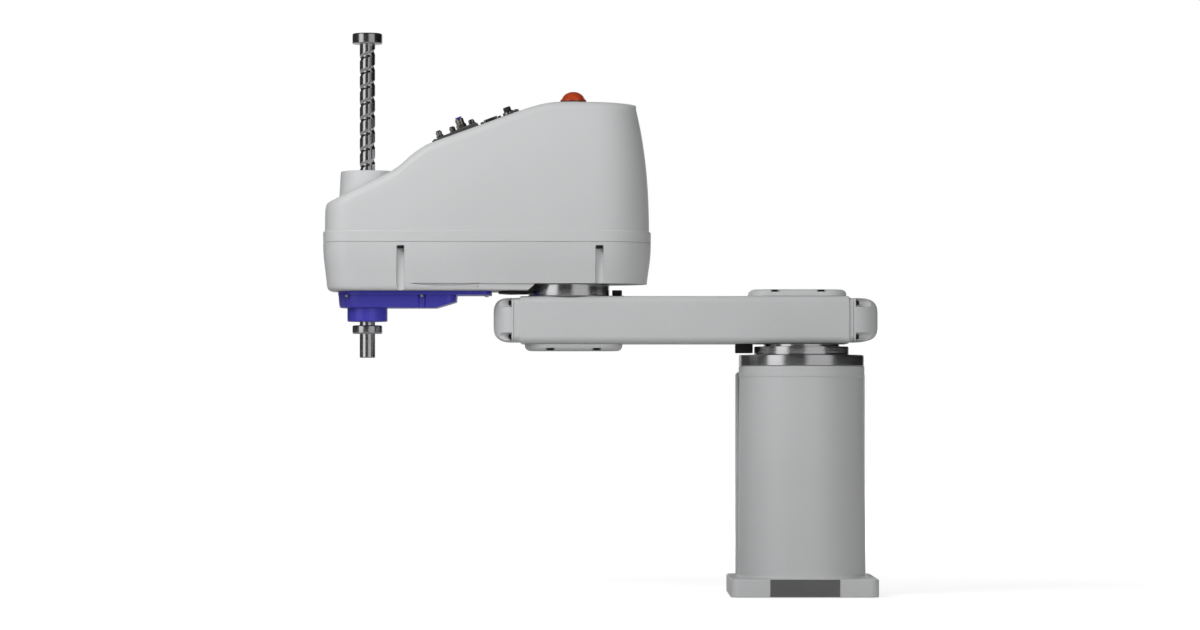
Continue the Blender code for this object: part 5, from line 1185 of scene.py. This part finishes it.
def build_bottom_cover():
    stations = [(487.7, 0), (474, 0.9), (466.2, 1.6), (463.4, 2.1), (461.9, 3), (461.2, 4.6)]
    deep = carried("nose_cover", (192, 88), (43, 16), stations, 12,
                   Matrix.Translation((-651 * MM, 0, 0)))
    slope = block("slope", (-660, -60, 440), (-500, 60, 472.2))
    reshape(slope, lambda corner: corner.x < -659.9 and corner.z > 472.1, (107.5, 0, 0))
    cut(deep, slope, block("end", (-552.5, -60, 472), (-500, 60, 481.7)))
    plate = block("plate", (-747, -52, 481.7), (-500, 52, 487.7))
    round_edges(plate, 46, 12, lambda a, b: upright(a, b) and a.x < -746)
    round_edges(plate, 14, 6, lambda a, b: upright(a, b) and a.x > -501)
    cup = turned("cup", [(0, 470), (32.4, 470), (32.4, 441.2), (31.8, 439.8), (30.4, 439.2), (0, 439.2)],
                 SHAFT, 96)
    weld(deep, plate, cup)
    seat = 481.4
    spots = [(x, y, seat) for x in (-509, -610) for y in (-47.5, 47.5)]
    spots += [(-731, y, seat) for y in (-37.5, 37.5)]
    room = turned("room", [(0, 30), (4.4, 30), (4.4, 0), (2.1, 0), (2.1, -5), (0, -5)])
    rooms = copies(room, spots, DOWN)
    flutes = copies(rod(6.8, 0, 30, steps=40), [(-610.5, y, seat) for y in (-45.4, 45.4)], DOWN)
    cut(deep, flutes, rod(20.5, 441, 500, SHAFT, steps=64), rod(SHAFT_BORE, 430, 445, SHAFT, steps=64),
        rooms)
    soften(deep, 0.5, 2, 35)
    fit(deep, "arm2", BLUE, "bottom_cover")
    screws = copies(socket_screw("nose_cover_screws", 3.3, 3.6, 1.6), spots[2:], DOWN)
    fit(screws, "arm2", NICKEL)
    flat = turned("nose_cover_end_screws", [(0, 0.5), (1.3, 0.5), (1.5, 1.2), (2.6, 1.1), (3.3, 0.6),
                                            (3.4, 0), (0, 0)], steps=28)
    fit(copies(flat, spots[:2], DOWN), "arm2", NICKEL)


# Shaft


RADIUS = 12.5
LEAD = 25
BALL_GROOVE = (8.4, 1.6)        # width and depth
SPLINE_GROOVE = (4.4, 1.5)
SPLINE_GROOVES = 3
GROOVES_LOW = 443
GROOVES_HIGH = 886
ROWS = 360
SIDES = 96


def shaft_depth(angle, height):
    """Depth of a right-handed ball groove and of the straight spline grooves that cross it."""
    phase = (height / LEAD - angle / TURN) % 1
    along = min(phase, 1 - phase) * LEAD
    width, depth = BALL_GROOVE
    helix = depth * max(0, 1 - (2 * along / width) ** 2)
    pitch = TURN / SPLINE_GROOVES
    across = abs(angle % pitch - pitch / 2) * RADIUS
    width, depth = SPLINE_GROOVE
    straight = depth * max(0, 1 - (2 * across / width) ** 2) ** 0.7
    return max(helix, straight)


def build_shaft():
    span = GROOVES_HIGH - GROOVES_LOW
    heights = [GROOVES_LOW + span * step / ROWS for step in range(ROWS + 1)]
    rings = [(381, 11.3, 0), (381.4, 12.1, 0), (382.2, RADIUS, 0)]
    rings += [(height, RADIUS, min(1, (height - GROOVES_LOW) / 2, (GROOVES_HIGH - height) / 2))
              for height in heights]
    rings += [(902.8, RADIUS, 0), (903.6, 12.1, 0), (904, 11.3, 0)]
    skin = bmesh.new()
    rows = []
    for height, radius, share in rings:
        row = []
        for side in range(SIDES):
            angle = TURN * side / SIDES
            size = radius - share * shaft_depth(angle, height)
            point = (SHAFT_X + size * math.cos(angle), size * math.sin(angle), height)
            row.append(skin.verts.new(Vector(point) * MM))
        rows.append(row)
    for row, after in zip(rows, rows[1:]):
        for side in range(SIDES):
            other = (side + 1) % SIDES
            skin.faces.new((row[side], row[other], after[other], after[side]))
    skin.faces.new(rows[0][::-1])
    skin.faces.new(rows[-1])
    fit(from_skin("quill_shaft", skin), "shaft", QUILL, "spline_shaft", angle=40)
    for name, replaced, low, high in (("upper_stop_collar", "upper_collar", 886.7, 903.7),
                                      ("lower_stop_collar", "lower_collar", 419.6, 433.3)):
        collar = turned(name, [
            (12.8, high), (22.2, high), (23.4, high - 0.4), (24, high - 1.2), (24.2, high - 2.2),
            (24.2, low + 2.2), (24, low + 1.2), (23.4, low + 0.4), (22.2, low), (12.8, low),
        ], SHAFT, 96, True)
        slit = block("slit", (SHAFT_X - 0.5, 10, low - 1), (SHAFT_X + 0.5, 30, high + 1))
        hole = rod(2.2, -30, 30, (SHAFT_X - 8, 18.5, (low + high) / 2), (1, 0, 0), 24)
        cut(collar, slit, hole)
        fit(collar, "shaft", COLLAR, replaced)


build_studio()
build_base()
build_rear_cover()
build_connectors()
build_joint1()
build_arm1()
build_arm2_casting()
build_upper_cover()
build_user_panel()
build_lamp()
build_bottom_cover()
build_shaft()

# Pieces inside, which keep their plain shapes
for finish, names in (
        (BLACK, ("joint1_motor", "joint2_motor", "z_motor", "u_motor")),
        (BLACK_OXIDE, ("joint2_stop_plate",)),
        (STEEL1, ("joint1_reducer",)),
        (STEEL2, ("joint2_output_flange",)),
        (STEEL3, ("z_bearing", "u_bearing", "z_ball_screw_nut", "u_spline_nut")),
        (PULLEY3, ("z_nut_pulley", "u_nut_pulley")),
        (ALUMINIUM, ("z_bracket", "z_motor_pulley", "u_motor_pulley")),
        (RUBBER, ("z_belt", "u_belt"))):
    for name in names:
        nodes[name].data.materials.clear()
        nodes[name].data.materials.append(finish.material)
